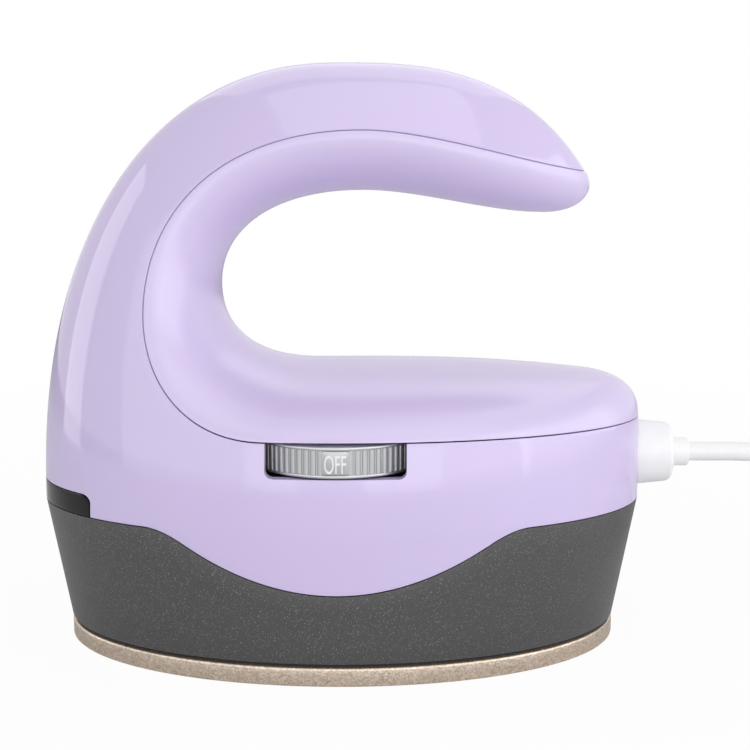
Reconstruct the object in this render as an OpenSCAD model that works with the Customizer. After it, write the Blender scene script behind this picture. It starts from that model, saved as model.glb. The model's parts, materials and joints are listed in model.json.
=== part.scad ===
// Mini handheld heat press: an oval heated plate under an egg-shaped body
// whose hooked handle leaves one open hand gap, with a thumb dial in the side.
// Frame: origin under the middle of the heat plate, -X is the nose with the
// smoked window, +X is the tail with the cord, -Y is the dial side, +Z is up.

/* [Heat plate] */
// Length of the heat plate from nose to tail
plate_l = 100; // [94:0.5:104]
// Width of the heat plate
plate_w = 63.5; // [60:0.5:65]
// Thickness of the heat plate
plate_t = 3.2; // [2.8:0.1:4]
// Power of the plan curve, where 2 is an ellipse
plan_pow = 2; // [1.9:0.02:2.2]
// Thickness of the seal between plate and skirt
seal_t = 0.6; // [0.4:0.05:1]
// How far the seal stands back from the plate's edge
seal_inset = 0.9; // [0.5:0.1:2]

/* [Body] */
// Length of the body at its widest level
body_l = 108.4; // [106:0.2:114]
// Width of the body at its widest level
body_w = 66.6; // [66:0.2:72]
// Height of the widest level, where the skirt ends
kink_z = 25.6; // [25:0.1:27]
// Height of the deck under the hand
deck_z = 50; // [49:0.2:54]
// Finger gap between deck and handle
hand_gap = 30.6; // [27:0.2:36]
// Height of the handle, crown to underside
handle_h = 22.3; // [20:0.1:26]
// Power of the side outline towards the nose
nose_pow = 2.25; // [2.1:0.05:2.5]
// Power of the side outline towards the tail
tail_pow = 2.78; // [2.5:0.05:3]
// Power of the end outline
width_pow = 3.4; // [3:0.1:4]
// How much the body narrows up to the handle
waist = 0.42; // [0.38:0.01:0.45]
// Wall of the moulded shells
wall = 2; // [1.6:0.1:2.4]
// Gap along the seams between mouldings
seam_gap = 0.2; // [0.12:0.02:0.4]

/* [Seam and hand gap] */
// Drop of the handle seam below the crown
seam_drop = 12.3; // [10:0.1:14]
// Where handle seam and underside are highest
handle_x = 4; // [0:0.5:8]
// Depth of the outer shell behind the nose
seam_back = 21.7; // [18:0.1:24]
// Height at which seam and gap reach furthest back
back_z = 61; // [60:0.5:66]
// Depth of the whole column behind the nose
back_t = 32.3; // [29:0.1:36]
// Height of the seam round the deck
deck_seam_z = 40.4; // [40.2:0.1:41.6]
// Where the level part of the deck seam starts
deck_seam_x = -12; // [-14:0.5:-11.6]
// Drop of the handle's tip below the crown
tip_drop = 18.9; // [17:0.1:21]
// Drop of the handle's underside near its tip
tip_sag = 3.9; // [2:0.1:5]
// Distance from the tip to the underside's lowest point
tip_len = 8; // [6:0.5:12]
// How far the deck falls towards the tail
deck_fall = 1.7; // [1:0.1:2.6]
// Length of the deck's rounded tail end
deck_round = 9; // [6:0.5:12]

/* [Skirt] */
// Height of the lowest point of the wave
wave_z = 15.6; // [14:0.1:18]
// Half width of the wave at the widest level
wave_w = 28.6; // [26:0.2:32]
// Blend at the wave's shoulders
wave_soft = 2.4; // [1.5:0.1:4]
// Width of the skirt's inner flange
flange_w = 4; // [3:0.1:4.5]
// Thickness of the skirt's inner flange
flange_t = 1.8; // [1.4:0.1:2.2]

/* [Window] */
// Half width of the smoked window at the nose
window_y = 20.9; // [16:0.1:23]
// Height of the smoked window
window_h = 3.6; // [3:0.1:6]

/* [Dial] */
// Radius of the thumb dial
dial_r = 13.75; // [13:0.05:14.2]
// Thickness of the thumb dial
dial_t = 5; // [4.6:0.1:5.3]
// How far the dial stands proud of the shell
dial_proud = 0.9; // [0.5:0.1:1.4]
// Gap over and under the dial
dial_gap = 0.3; // [0.25:0.05:0.4]
// Number of ribs round the dial
dial_ribs = 72; // [48:2:90]
// Height of the ribs
rib_h = 0.35; // [0.2:0.05:0.5]
// Height of the smooth rims over and under the ribs
rim_t = 0.5; // [0.4:0.05:0.9]
// Width of the slot that the dial shows through
slot_w = 22.7; // [21:0.1:23.2]
// Width of the plate that carries the dial's mark
label_w = 4.7; // [4:0.1:6]
// Diameter of the dial's shaft
shaft_d = 6; // [5:0.1:6.4]
// Running clearance round the shaft
shaft_clear = 0.05; // [0.03:0.01:0.09]

/* [Heating] */
// Diameter of the sheathed heating element
tube_d = 6.5; // [6:0.1:6.8]
// Half distance between the element's arms
tube_y = 11; // [10:0.5:12]
// Depth of the element's groove in the plate
groove_d = 1.5; // [1:0.1:1.8]
// Diameter of the plate's screw bosses
boss_d = 8; // [7:0.1:8.6]
// Screw diameter
screw_d = 3; // [2.6:0.1:3.2]
// Thickness of the felt pad
pad_t = 2.5; // [2:0.1:2.6]
// Thickness of the heat shield
shield_t = 0.8; // [0.6:0.1:1.2]
// Thickness of the frame's floor
floor_t = 2.5; // [2.4:0.1:3]

/* [Electronics] */
// Thickness of the circuit boards
board_t = 1.6; // [1:0.1:2]
// Length of the control board
board_l = 42; // [38:1:44]
// Width of the control board
board_w = 28; // [25:1:29]
// Height of the board's standoffs
standoff_h = 3; // [2.4:0.1:4]

/* [Cord] */
// Diameter of the round cord
cord_d = 3.4; // [3:0.1:3.4]
// Height of the cord's axis at the tail
cord_z = 33; // [32.6:0.1:33.6]
// Diameter of the collar where it meets the shell
collar_d = 11.8; // [10.6:0.1:12]
// Diameter of the collar's outer end
collar_end_d = 10.8; // [10.2:0.1:11]
// Length of the collar outside the shell
collar_l = 5.6; // [5:0.1:9]
// Diameter of the stub behind the collar
stub_d = 5.2; // [4.6:0.1:6.4]
// Length of the stub
stub_l = 3.4; // [3:0.1:6]
// Innermost turn's radius in the stored coil
coil_r = 14.2; // [14:0.1:15]
// Step between turns in a layer
turn_step = 3.9; // [3.9:0.02:4]
// Step between layers
layer_step = 3.86; // [3.86:0.01:3.95]

/* [Hidden] */

lilac = "#cdbdec";
lilac_light = "#d8cbf0";
charcoal = "#54565a";
champagne = "#c9b39b";
steel = "#b9bcc0";
black = "#1d1d20";
white = "#f2f2f4";

body_h = deck_z + hand_gap + handle_h;
skirt_z = plate_t + seal_t;
eps = 0.01;
fit = 0.1;

// ---- Outline rules ------------------------------------------------------
function mix(a, b, t) = a + (b - a)*t;
function smooth(t) = let (s = min(1, max(0, t))) s*s*(3 - 2*s);
function unit(v) = v/norm(v);
function quarter(q, p) = pow(max(0, 1 - pow(min(1, abs(q)), p)), 1/p);
// Share of the height from the widest level to the crown
function level(z) = min(0.9999, max(0, (z - kink_z)/(body_h - kink_z)));
// Share of the height from the skirt's foot to the widest level
function foot(z) = min(1, max(0, (z - skirt_z)/(kink_z - skirt_z)));
function half_l(z, side) = z < kink_z
    ? mix(plate_l, body_l, foot(z))/2
    : body_l/2*quarter(level(z), side < 0 ? nose_pow : tail_pow);
function half_w(z) = let (q = level(z)) z < kink_z
    ? mix(plate_w, body_w, foot(z))/2
    : body_w/2*sqrt(1 - pow(q, width_pow))*(1 - waist*smooth(q));
// Half width of the body's skin at a place in side view
function skin_y(x, z) = half_w(z)*quarter(x/max(eps, half_l(z, x)), plan_pow);
// Implicit form of the skin, and its outward normal by differences
function skin_f(p) = pow(abs(p[0])/max(eps, half_l(p[2], p[0])), plan_pow)
    + pow(abs(p[1])/max(eps, half_w(p[2])), plan_pow);
function skin_n(p) = unit([0, 0, 1e-9] + [
    skin_f(p + [eps, 0, 0]) - skin_f(p - [eps, 0, 0]),
    skin_f(p + [0, eps, 0]) - skin_f(p - [0, eps, 0]),
    skin_f(p + [0, 0, eps]) - skin_f(p - [0, 0, eps])]);
// Point of the plan at one level and angle, drawn in by an inset
function bent(c) = sign(c)*pow(abs(c), 2/plan_pow);
function plan_at(z, a, inset = 0) = [
    bent(cos(a))*(half_l(z, cos(a)) - inset), bent(sin(a))*(half_w(z) - inset)];
function plan(z, inset = 0, n = 96) = [for (i = [0:n - 1]) plan_at(z, 360*i/n, inset)];
function skin_at(a, z) = let (p = plan_at(z, a)) [p[0], p[1], z];
// Height of the skirt's upper edge: level, with one soft dip on each side
function dip(x) = wave_z + (kink_z - wave_z)*pow(x/wave_w, 2);
function wave(x) = let (gap = abs(kink_z - dip(x)), h = max(0, wave_soft - gap))
    min(kink_z, dip(x)) - h*h/(4*wave_soft);
// The same height at a plan angle, where the skirt's taper shifts x a little
function edge_z(a) = let (c = bent(cos(a)), x = c*half_l(wave(c*body_l/2), c)) wave(x);

// ---- Side-view curves ---------------------------------------------------
function bezier(p, t) = pow(1 - t, 3)*p[0] + 3*pow(1 - t, 2)*t*p[1]
    + 3*(1 - t)*t*t*p[2] + t*t*t*p[3];
tip_z = body_h - tip_drop;
tip = [half_l(tip_z, 1), tip_z];
tail = [half_l(deck_seam_z, 1), deck_seam_z];
seam_top = [handle_x, body_h - seam_drop];
seam_rear = [seam_back - body_l/2, back_z];
seam_front = [deck_seam_x, deck_seam_z];
gap_top = [handle_x, deck_z + hand_gap];
gap_rear = [back_t - body_l/2, back_z + 2.5];
gap_front = [gap_rear[0] + 18, deck_z];
gap_low = [tip[0] - tip_len, gap_top[1] - tip_sag];
deck_end = [tail[0] - deck_round, deck_z - deck_fall];
// The seam in four stretches: handle, column, turn to the deck, deck
seam_arcs = [
    [tip, tip + [-10, 0.5], seam_top + [12, 0], seam_top],
    [seam_top, seam_top - [22.3, 0], seam_rear + [0, 17.6], seam_rear],
    [seam_rear, seam_rear - [0, 11.1], seam_front - [13.1, 0], seam_front],
    [seam_front, mix(seam_front, tail, 1/3), mix(seam_front, tail, 2/3), tail]];
// The outline of the hand gap, from the tip round to the tail
tip_arc = [tip, tip + [2.6, -3], gap_low + [8, -0.4], gap_low];
handle_arc = [gap_low, gap_low - [9, 0], gap_top + [10, 0], gap_top];
column_arc = [gap_top, gap_top - [16.8, 0], gap_rear + [0, 9.7], gap_rear];
turn_arc = [gap_rear, gap_rear - [0, 8.2], gap_front - [12.1, 0], gap_front];
deck_arc = [gap_front, gap_front + [18.5, 0], deck_end + [-18.8, 1.9], deck_end];
tail_arc = [deck_end, deck_end + [5.8, -0.7], tail + [0, 4.8], tail];

// Rows of the shells: [seam point, gap point], from the tip to the tail
rows_tip = 7;
rows_handle = 10;
rows_column = 14;
rows_turn = 10;
rows_deck = 16;
rows_tail = 8;
// Shares of the first and last seam stretch that go round tip and tail
tip_share = 0.3;
tail_share = 0.8;
rows = concat(
    [for (i = [0:rows_tip - 1]) let (t = i/rows_tip)
        [bezier(seam_arcs[0], tip_share*t*t), bezier(tip_arc, t)]],
    [for (i = [0:rows_handle - 1]) let (t = i/rows_handle)
        [bezier(seam_arcs[0], mix(tip_share, 1, t)), bezier(handle_arc, t)]],
    [for (i = [0:rows_column - 1]) let (t = i/rows_column)
        [bezier(seam_arcs[1], t), bezier(column_arc, t)]],
    [for (i = [0:rows_turn - 1]) let (t = i/rows_turn)
        [bezier(seam_arcs[2], t), bezier(turn_arc, t)]],
    [for (i = [0:rows_deck - 1]) let (t = i/rows_deck)
        [bezier(seam_arcs[3], tail_share*t), bezier(deck_arc, t)]],
    [for (i = [0:rows_tail]) let (t = i/rows_tail, s = 1 - pow(1 - t, 2))
        [bezier(seam_arcs[3], mix(tail_share, 1, s)), bezier(tail_arc, t)]]);
last_row = len(rows) - 1;

// Outer ends of the rows, by angle: 0 at the tail, 90 at the crown, 180 at
// the nose, then round the plan along the skirt's edge to 360 at the tail
function side_at(a) = let (p = a < 90 ? tail_pow : nose_pow)
    [sign(cos(a))*body_l/2*pow(abs(cos(a)), 2/p),
     kink_z + (body_h - kink_z)*pow(max(0, sin(a)), 2/p)];
tip_a = asin(pow((tip_z - kink_z)/(body_h - kink_z), tail_pow/2));
row_crown = rows_tip + rows_handle;
row_rear = row_crown + rows_column;
row_nose = row_rear + 6;
row_deck = row_rear + rows_turn;
row_tail = row_deck + rows_deck;
rear_a = 150;
function row_angle(i) = lookup(i, [[0, tip_a], [row_crown, 90], [row_rear, rear_a],
    [row_nose, 180], [row_deck, 216], [row_tail, 318], [last_row, 360]]);

// ---- Shell surfaces -----------------------------------------------------
// Near half of the outer shell's skin: row i, column share f from seam to outer end
function outer_xz(i, f) = let (
        s = rows[i][0],
        a = row_angle(i),
        z = i <= row_nose ? side_at(a)[1] : edge_z(a) + seam_gap/2,
        x = i <= row_nose ? side_at(a)[0] : bent(cos(a))*half_l(z, cos(a)),
        // side way: straight in side view, crowding towards the outline
        g = sin(90*f),
        side = [mix(s[0], x, g), mix(s[1], z, g)],
        // plan way: even steps of plan angle
        r = min(1, abs(s[0])/half_l(s[1], s[0])),
        a0 = s[0] < 0 ? 180 - acos(pow(r, plan_pow/2)) : acos(pow(r, plan_pow/2)),
        a1 = i <= row_nose ? 180 : 360 - a,
        am = mix(a0, a1, f),
        zm = mix(s[1], z, f),
        round = [bent(cos(am))*half_l(zm, cos(am)), zm],
        w = smooth((i - row_crown - 4)/(row_nose - row_crown - 6)))
    mix(side, round, w);
function outer_at(i, f) = let (p = outer_xz(i, f),
        flat = i == 0 || i == last_row || (i <= row_nose && f == 1))
    [p[0], flat ? 0 : -skin_y(p[0], p[1]), p[1]];
// The inner shell: a skin that leaves the seam with the body and rounds over to
// the gap's outline
function seam_side(i) = let (
        a = rows[max(0, i - 1)][0],
        b = rows[min(last_row, i + 1)][0],
        d = unit(b - a))
    rows[i][0] + seam_gap*[-d[1], d[0]];
belly = 0.35;
crown_share = 0.6;
// The wall thins where the shell runs out at the handle's tip and the tail
end_wall = 0.3;
end_rate = 0.35;
function inner_wall(i) = min(wall, end_wall + end_rate*abs(inner_at(i, 0)[1]));
function inner_at(i, f) = let (
        s = seam_side(i),
        g = rows[i][1],
        b = mix(s, g, belly),
        y = skin_y(s[0], s[1]),
        tip_end = i == 0 || i == last_row,
        p = bezier([[s[0], -y, s[1]], [b[0], -skin_y(b[0], b[1]), b[1]],
            [g[0], -y*crown_share, g[1]], [g[0], 0, g[1]]], f))
    tip_end ? [s[0], 0, s[1]] : [p[0], f == 1 ? 0 : p[1], p[2]];
function inner_n(i, f) = i == 0 || i == last_row || f == 0 ? skin_n(inner_at(i, f)) : let (
        d = 0.02,
        n = unit(cross(inner_at(i + 1, f) - inner_at(i - 1, f),
            inner_at(i, min(1, f + d)) - inner_at(i, max(0, f - d)))))
    f == 1 ? unit([n[0], 0, n[2]]) : n;

// Closed shell from a near half: four grids share their poles and mid lines.
// Rows 0 to mid_rows end on the mid plane; end_pole makes the last row a point;
// turned is for a skin whose columns run away from the crown.
module half_shell(skin, inside, mid_rows, end_pole, turned) {
    n = len(skin) - 1;
    m = len(skin[0]) - 1;
    function far(p) = [p[0], -p[1], p[2]];
    function id(s, side, i, j) = let (
            pole = i == 0 || (end_pole && i == n),
            jj = pole ? 0 : j,
            one = i == 0 || i == n || (i <= mid_rows && jj == m))
        (((2*s + (one ? 0 : side))*(n + 1)) + i)*(m + 1) + jj;
    function quad(a, b, c, d, flip) = [for (t = [[a, b, c], [a, c, d]])
        if (t[0] != t[1] && t[1] != t[2] && t[2] != t[0])
            flip ? [t[2], t[1], t[0]] : t];
    points = concat(
        [for (r = skin) for (p = r) p], [for (r = skin) for (p = r) far(p)],
        [for (r = inside) for (p = r) p], [for (r = inside) for (p = r) far(p)]);
    walls = [for (s = [0, 1]) for (side = [0, 1]) for (i = [0:n - 1]) for (j = [0:m - 1])
        each quad(id(s, side, i, j), id(s, side, i + 1, j), id(s, side, i + 1, j + 1),
            id(s, side, i, j + 1), (s != side) != turned)];
    rims = [for (side = [0, 1]) for (i = [0:n - 1]) each concat(
        quad(id(0, side, i, 0), id(1, side, i, 0), id(1, side, i + 1, 0),
            id(0, side, i + 1, 0), (side == 1) != turned),
        i < mid_rows ? [] : quad(id(0, side, i, m), id(0, side, i + 1, m),
            id(1, side, i + 1, m), id(1, side, i, m), (side == 1) != turned))];
    polyhedron(points, concat(walls, rims), convexity = 8);
}

// Solid through closed outlines of equal length, capped at both ends
module loft(rings) {
    n = len(rings) - 1;
    m = len(rings[0]);
    polyhedron([for (r = rings) for (p = r) p], concat(
        [[for (j = [0:m - 1]) j]],
        [for (i = [0:n - 1]) for (j = [0:m - 1]) let (k = (j + 1)%m)
            each [[i*m + j, (i + 1)*m + j, (i + 1)*m + k], [i*m + j, (i + 1)*m + k, i*m + k]]],
        [[for (j = [0:m - 1]) n*m + m - 1 - j]]), convexity = 6);
}

// Ring through closed sections, joined to its own start
module ring_loft(rings) {
    n = len(rings);
    m = len(rings[0]);
    polyhedron([for (r = rings) for (p = r) p],
        [for (i = [0:n - 1]) for (j = [0:m - 1]) let (h = (i + 1)%n, k = (j + 1)%m)
            each [[i*m + j, h*m + j, h*m + k], [i*m + j, h*m + k, i*m + k]]],
        convexity = 6);
}

// Ring of points round a place on a path
function ring_at(p, dir, r, sides, up) = let (u = unit(cross(dir, up)), v = cross(dir, u))
    [for (k = [0:sides - 1]) let (a = 360*(k + 0.5)/sides) p + r*(cos(a)*u + sin(a)*v)];

// ---- Shells -------------------------------------------------------------
outer_cols = 8;
inner_cols = 7;

// Slot for the dial, open to the seam above
slot_floor = deck_seam_z - dial_gap - dial_t - dial_gap;
slot_corner = 1.2;
module slot_cut() {
    r = slot_corner;
    translate([0, -body_w/2 + 8, 0]) rotate([90, 0, 0]) linear_extrude(20) polygon(concat(
        [[-slot_w/2, deck_seam_z + 1]],
        [for (a = [180:15:270]) [-slot_w/2 + r + r*cos(a), slot_floor + r + r*sin(a)]],
        [for (a = [270:15:360]) [slot_w/2 - r + r*cos(a), slot_floor + r + r*sin(a)]],
        [[slot_w/2, deck_seam_z + 1]]));
}

// Notch for the window, open to the skirt below
window_corner = 1.4;
window_top = kink_z + seam_gap/2 + window_h;
module window_notch() {
    y = window_y + seam_gap;
    z = window_top + seam_gap;
    r = window_corner;
    translate([-body_l/2 - 5, 0, 0]) rotate([90, 0, 90])
        linear_extrude(5 + body_l/2 - half_l(kink_z, -1)*quarter(y/half_w(kink_z), plan_pow) + 6)
        polygon(concat([[-y, kink_z - 3]],
            [for (a = [180:-15:90]) [-y + r + r*cos(a), z - r + r*sin(a)]],
            [for (a = [90:-15:0]) [y - r + r*cos(a), z - r + r*sin(a)]],
            [[y, kink_z - 3]]));
}

collar_seat = body_l/2 - 5;
module outer_shell() color(lilac) difference() {
    skin = [for (i = [0:last_row]) [for (j = [0:outer_cols]) outer_at(i, j/outer_cols)]];
    inside = [for (r = skin) [for (p = r) p - wall*skin_n(p)]];
    half_shell(skin, inside, row_nose, false, false);
    slot_cut();
    window_notch();
    translate([collar_seat, 0, cord_z]) rotate([0, 90, 0])
        cylinder(h = 12, d = collar_d + 2*fit, $fn = 48);
}

module inner_shell() color(lilac_light) {
    skin = [for (i = [0:last_row]) [for (j = [0:inner_cols]) inner_at(i, j/inner_cols)]];
    inside = [for (i = [0:last_row]) [for (j = [0:inner_cols])
        skin[i][j] - inner_wall(i)*inner_n(i, j/inner_cols)]];
    half_shell(skin, inside, last_row, true, true);
}

// ---- Skirt, seal and plate ----------------------------------------------
function level_at(z, a, inset) = let (p = plan_at(z, a, inset)) [p[0], p[1], z];
module base_skirt() color(charcoal) {
    near = [for (i = [row_nose:last_row]) row_angle(i)];
    angles = concat(near, [for (i = [len(near) - 2:-1:1]) 360 - near[i]]);
    flange_z = skirt_z + flange_t;
    ring_loft([for (a = angles) let (top = skin_at(a, edge_z(a) - seam_gap/2)) [
        top, level_at(skirt_z, a, 0), level_at(skirt_z, a, wall + flange_w),
        level_at(flange_z, a, wall + flange_w), level_at(flange_z, a, wall),
        level_at(top[2], a, wall)]]);
}

module plate_seal() color(black) translate([0, 0, plate_t]) linear_extrude(seal_t)
    difference() {
        polygon(plan(skirt_z, seal_inset));
        polygon(plan(skirt_z, wall + flange_w));
    }

// Where the parts stack up over the plate
tube_top = plate_t - groove_d + fit + tube_d;
pad_z = tube_top + fit;
shield_z = pad_z + pad_t + 2*fit;
frame_z = shield_z + shield_t;
frame_top = frame_z + floor_t;
// Screw bosses on the plate: nose, tail and both sides
boss_inset = wall + flange_w + boss_d/2 + 0.5;
boss_at = [[-plate_l/2 + boss_inset, 0], [plate_l/2 - boss_inset, 0],
    [0, -plate_w/2 + boss_inset], [0, plate_w/2 - boss_inset]];
tube_end = -25;
tube_bend = 17;
tube_z = tube_top - tube_d/2;

// U-shaped round bar: two arms and a half ring
module u_bar(d) translate([0, 0, tube_z]) {
    for (s = [-1, 1]) translate([tube_end, s*tube_y, 0]) rotate([0, 90, 0])
        cylinder(h = tube_bend - tube_end, d = d, $fn = 32);
    translate([tube_bend, 0, 0]) rotate([0, 0, -90]) rotate_extrude(angle = 180, $fn = 64)
        translate([tube_y, 0]) circle(d = d, $fn = 32);
}

module heat_plate() color(champagne) difference() {
    union() {
        linear_extrude(plate_t) polygon([for (p = plan(0)) p]);
        for (p = boss_at) translate([p[0], p[1], plate_t - eps])
            cylinder(h = shield_z - plate_t + eps, d = boss_d, $fn = 32);
    }
    u_bar(tube_d + 2*fit);
    for (s = [-1, 1]) translate([tube_end - bead_l - fit, s*tube_y, tube_z]) rotate([0, 90, 0])
        cylinder(h = bead_l + 1, d = bead_d + 2*fit, $fn = 32);
    for (p = boss_at) translate([p[0], p[1], plate_t])
        cylinder(h = shield_z, d = screw_d + fit, $fn = 24);
}

module heating_element() color(steel) u_bar(tube_d);

pin_l = 8;
pin_d = 2;
bead_l = 2.5;
bead_d = tube_d - 1;
module element_pins() color(steel) for (s = [-1, 1])
    translate([tube_end - pin_l, s*tube_y, tube_z]) rotate([0, 90, 0])
        cylinder(h = pin_l, d = pin_d, $fn = 24);

module terminal_beads() color(white) for (s = [-1, 1])
    translate([tube_end - bead_l, s*tube_y, tube_z]) rotate([0, 90, 0]) difference() {
        cylinder(h = bead_l, d = bead_d, $fn = 32);
        translate([0, 0, -1]) cylinder(h = bead_l + 2, d = pin_d + fit, $fn = 24);
    }

// Thermal fuse lying on the plate, with its steel clip
fuse_x = 6;
fuse_d = 4;
fuse_l = 10;
module thermal_fuse() color(champagne) translate([fuse_x, 0, plate_t + fuse_d/2])
    rotate([0, 90, 0]) cylinder(h = fuse_l, d = fuse_d, center = true, $fn = 32);

clip_t = 0.5;
module fuse_clip() color(steel) {
    r = fuse_d/2 + fit;
    translate([fuse_x - 2, 0, plate_t]) rotate([90, 0, 90]) linear_extrude(4) {
        translate([r, 0]) square([clip_t, r]);
        translate([-r - clip_t, 0]) square([clip_t, r]);
        translate([r, 0]) square([4, clip_t]);
        difference() {
            translate([0, r]) circle(r = r + clip_t, $fn = 32);
            translate([0, r]) circle(r = r, $fn = 32);
            translate([-r - 1, -1]) square([2*r + 2, r + 1]);
        }
    }
}

// Temperature sensor: a lug with a glass bead
module thermistor() color(steel) translate([-12, 0, plate_t]) {
    difference() {
        cylinder(h = 1, d = 7, $fn = 32);
        translate([0, 0, -1]) cylinder(h = 3, d = screw_d, $fn = 24);
    }
    translate([4.5, 0, 1]) rotate([0, 90, 0]) cylinder(h = 3, d = 2, center = true, $fn = 24);
    translate([3, -1, 0]) cube([2, 2, 1]);
}

// Openings in the layers over the plate: bosses, and a window for the leads
lead_x = tube_end - pin_l - 4.2;
module layer(z, t, inset, hole) translate([0, 0, z]) linear_extrude(t) difference() {
    polygon(plan(z, wall + inset));
    for (p = boss_at) translate(p) circle(d = hole, $fn = 32);
    for (s = [-1, 1]) translate([lead_x - 1.5, s*tube_y - 2.5]) square(5);
}

module felt_pad() color("#dedad2") layer(pad_z, pad_t, 0.6, boss_d + 4*fit);

module heat_shield() color(steel) layer(shield_z, shield_t, 0.4, screw_d + 3*fit);

screw_head_d = 5.6;
screw_head_h = 1.8;
module screw(length, d = screw_d - fit) {
    cylinder(h = screw_head_h, d = screw_head_d, $fn = 32);
    translate([0, 0, -length]) cylinder(h = length + eps, d = d, $fn = 24);
}

module plate_screws() color(steel) for (p = boss_at)
    translate([p[0], p[1], frame_top]) difference() {
        screw(frame_top - plate_t - 1.5);
        translate([0, 0, screw_head_h - 0.8]) cylinder(h = 2, d = 2.4, $fn = 6);
    }

// ---- Frame --------------------------------------------------------------
shaft_y = -(skin_y(0, deck_seam_z) + dial_proud - dial_r);
dial_z = slot_floor + dial_gap;
housing_floor = 2;
housing_z = dial_z - 0.6 - housing_floor;
board_x = -36;
board_y = -9;
leg_x = 14;
leg_d = 6;
leg_y = board_y - leg_d/2 - 0.5;
board_z = frame_top + standoff_h;
board_holes = [for (x = [3, board_l - 3]) for (y = [3, board_w - 3])
    [board_x + x, board_y + y]];
clamp_x = 38;
clamp_l = 7;
clamp_y = 9;
clamp_screw_y = 6.4;
clamp_foot = 5;
clamp_t = 1.6;
clamp_bite = 0.8;
saddle_z = cord_z - cord_d/2 - clamp_t;
// The indicator board hangs over the plate screw's head, on two legs beside it
led_low = frame_top + screw_head_h + 1.2;
led_x = -(half_l(led_low, -1) - wall - 3);
stand_t = 3;
stand_y = screw_head_d/2 + 0.7;
post_x = [12, 24];

module base_frame() color(black) difference() {
    union() {
        layer(frame_z, floor_t, 0.2, screw_d + 3*fit);
        for (p = board_holes) translate([p[0], p[1], frame_top - eps])
            cylinder(h = standoff_h + eps, d = 5, $fn = 24);
        // two posts for the cord's clamp, either side of the plate screw
        for (s = [-1, 1]) translate([clamp_x, s*clamp_screw_y - clamp_foot/2, frame_top - eps])
            cube([clamp_l, clamp_foot, saddle_z - frame_top]);
        // stand for the indicator board
        for (y = [-stand_y - stand_t, stand_y]) translate([led_x + board_t, y, frame_top - eps])
            cube([stand_t, stand_t, kink_z + 4 - frame_top]);
    }
    for (p = board_holes) translate([p[0], p[1], frame_top + 0.5])
        cylinder(h = standoff_h, d = 2.2, $fn = 24);
    for (y = [-clamp_screw_y, clamp_screw_y]) translate([clamp_x + clamp_l/2, y, saddle_z - 6])
        cylinder(h = 12, d = 2.2, $fn = 24);
    for (x = post_x) translate([x, 0, frame_z - 1]) {
        cylinder(h = floor_t + 2, d = screw_d + 3*fit, $fn = 24);
        cylinder(h = screw_head_h + 1 + fit, d = screw_head_d + 2*fit, $fn = 32);
    }
    for (s = [-1, 1]) translate([s*leg_x, leg_y, frame_z - 1])
        cylinder(h = floor_t + 2, d = screw_d + 3*fit, $fn = 24);
    for (s = [-1, 1]) translate([s*leg_x, leg_y, frame_z - 1])
        cylinder(h = screw_head_h + 1 + fit, d = screw_head_d + 2*fit, $fn = 32);
}

// Posts that carry the deck under the hand, screwed down from below
post_d = 7;
function deck_at(x) = lookup(x, [for (t = [0:0.1:1]) bezier(deck_arc, t)]);
module deck_posts() color(black) for (x = post_x) translate([x, 0, frame_top]) difference() {
    cylinder(h = deck_at(x) - wall - 3*fit - frame_top, d = post_d, $fn = 32);
    translate([0, 0, -1]) cylinder(h = 11, d = screw_d + fit, $fn = 24);
}

module deck_screws() color(steel) for (x = post_x)
    translate([x, 0, frame_z + screw_head_h]) mirror([0, 0, 1]) difference() {
        screw(10);
        translate([0, 0, screw_head_h - 0.8]) cylinder(h = 2, d = 2.4, $fn = 6);
    }

module housing_screws() color(steel) for (s = [-1, 1])
    translate([s*leg_x, leg_y, frame_z + screw_head_h]) mirror([0, 0, 1]) difference() {
        screw(9);
        translate([0, 0, screw_head_h - 0.8]) cylinder(h = 2, d = 2.4, $fn = 6);
    }

// ---- Dial ---------------------------------------------------------------
shaft_z = frame_top + 9;
switch_z = frame_top + 3;
function cheek_y(x) = -(skin_y(x, deck_seam_z) - wall - 0.5);

module dial_housing() color(black) difference() {
    union() {
        translate([0, 0, housing_z]) linear_extrude(deck_seam_z - 0.4 - housing_z) polygon([
            [-slot_w/2 - 1.6, cheek_y(slot_w/2 + 1.6)], [slot_w/2 + 1.6, cheek_y(slot_w/2 + 1.6)],
            [dial_r + 3.5, shaft_y - 6], [dial_r + 3.5, leg_y + 4],
            [-dial_r - 3.5, leg_y + 4], [-dial_r - 3.5, shaft_y - 6]]);
        for (s = [-1, 1]) translate([s*leg_x, leg_y, frame_top])
            cylinder(h = housing_z - frame_top + 1, d = leg_d, $fn = 32);
    }
    translate([0, shaft_y, housing_z + housing_floor])
        cylinder(h = 20, r = dial_r + rib_h + 0.5, $fn = 96);
    translate([-slot_w/2, -body_w/2, housing_z + housing_floor])
        cube([slot_w, body_w/2 + shaft_y - 5, 20]);
    translate([0, shaft_y, housing_z - 1])
        cylinder(h = 10, d = shaft_d + 2*shaft_clear, $fn = 48);
    for (s = [-1, 1]) translate([s*leg_x, leg_y, frame_top - 1])
        cylinder(h = 10.5, d = screw_d + fit, $fn = 24);
}

// The switch hangs under the housing, clear of the plate screw's head
switch_l = 16;
switch_w = 13;
module rotary_switch() color("#2c3a52") difference() {
    translate([-switch_l/2, shaft_y - switch_w/2, switch_z])
        cube([switch_l, switch_w, housing_z - switch_z]);
    translate([0, shaft_y, shaft_z - 0.5])
        cylinder(h = housing_z, d = shaft_d + 2*shaft_clear, $fn = 48);
}

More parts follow.
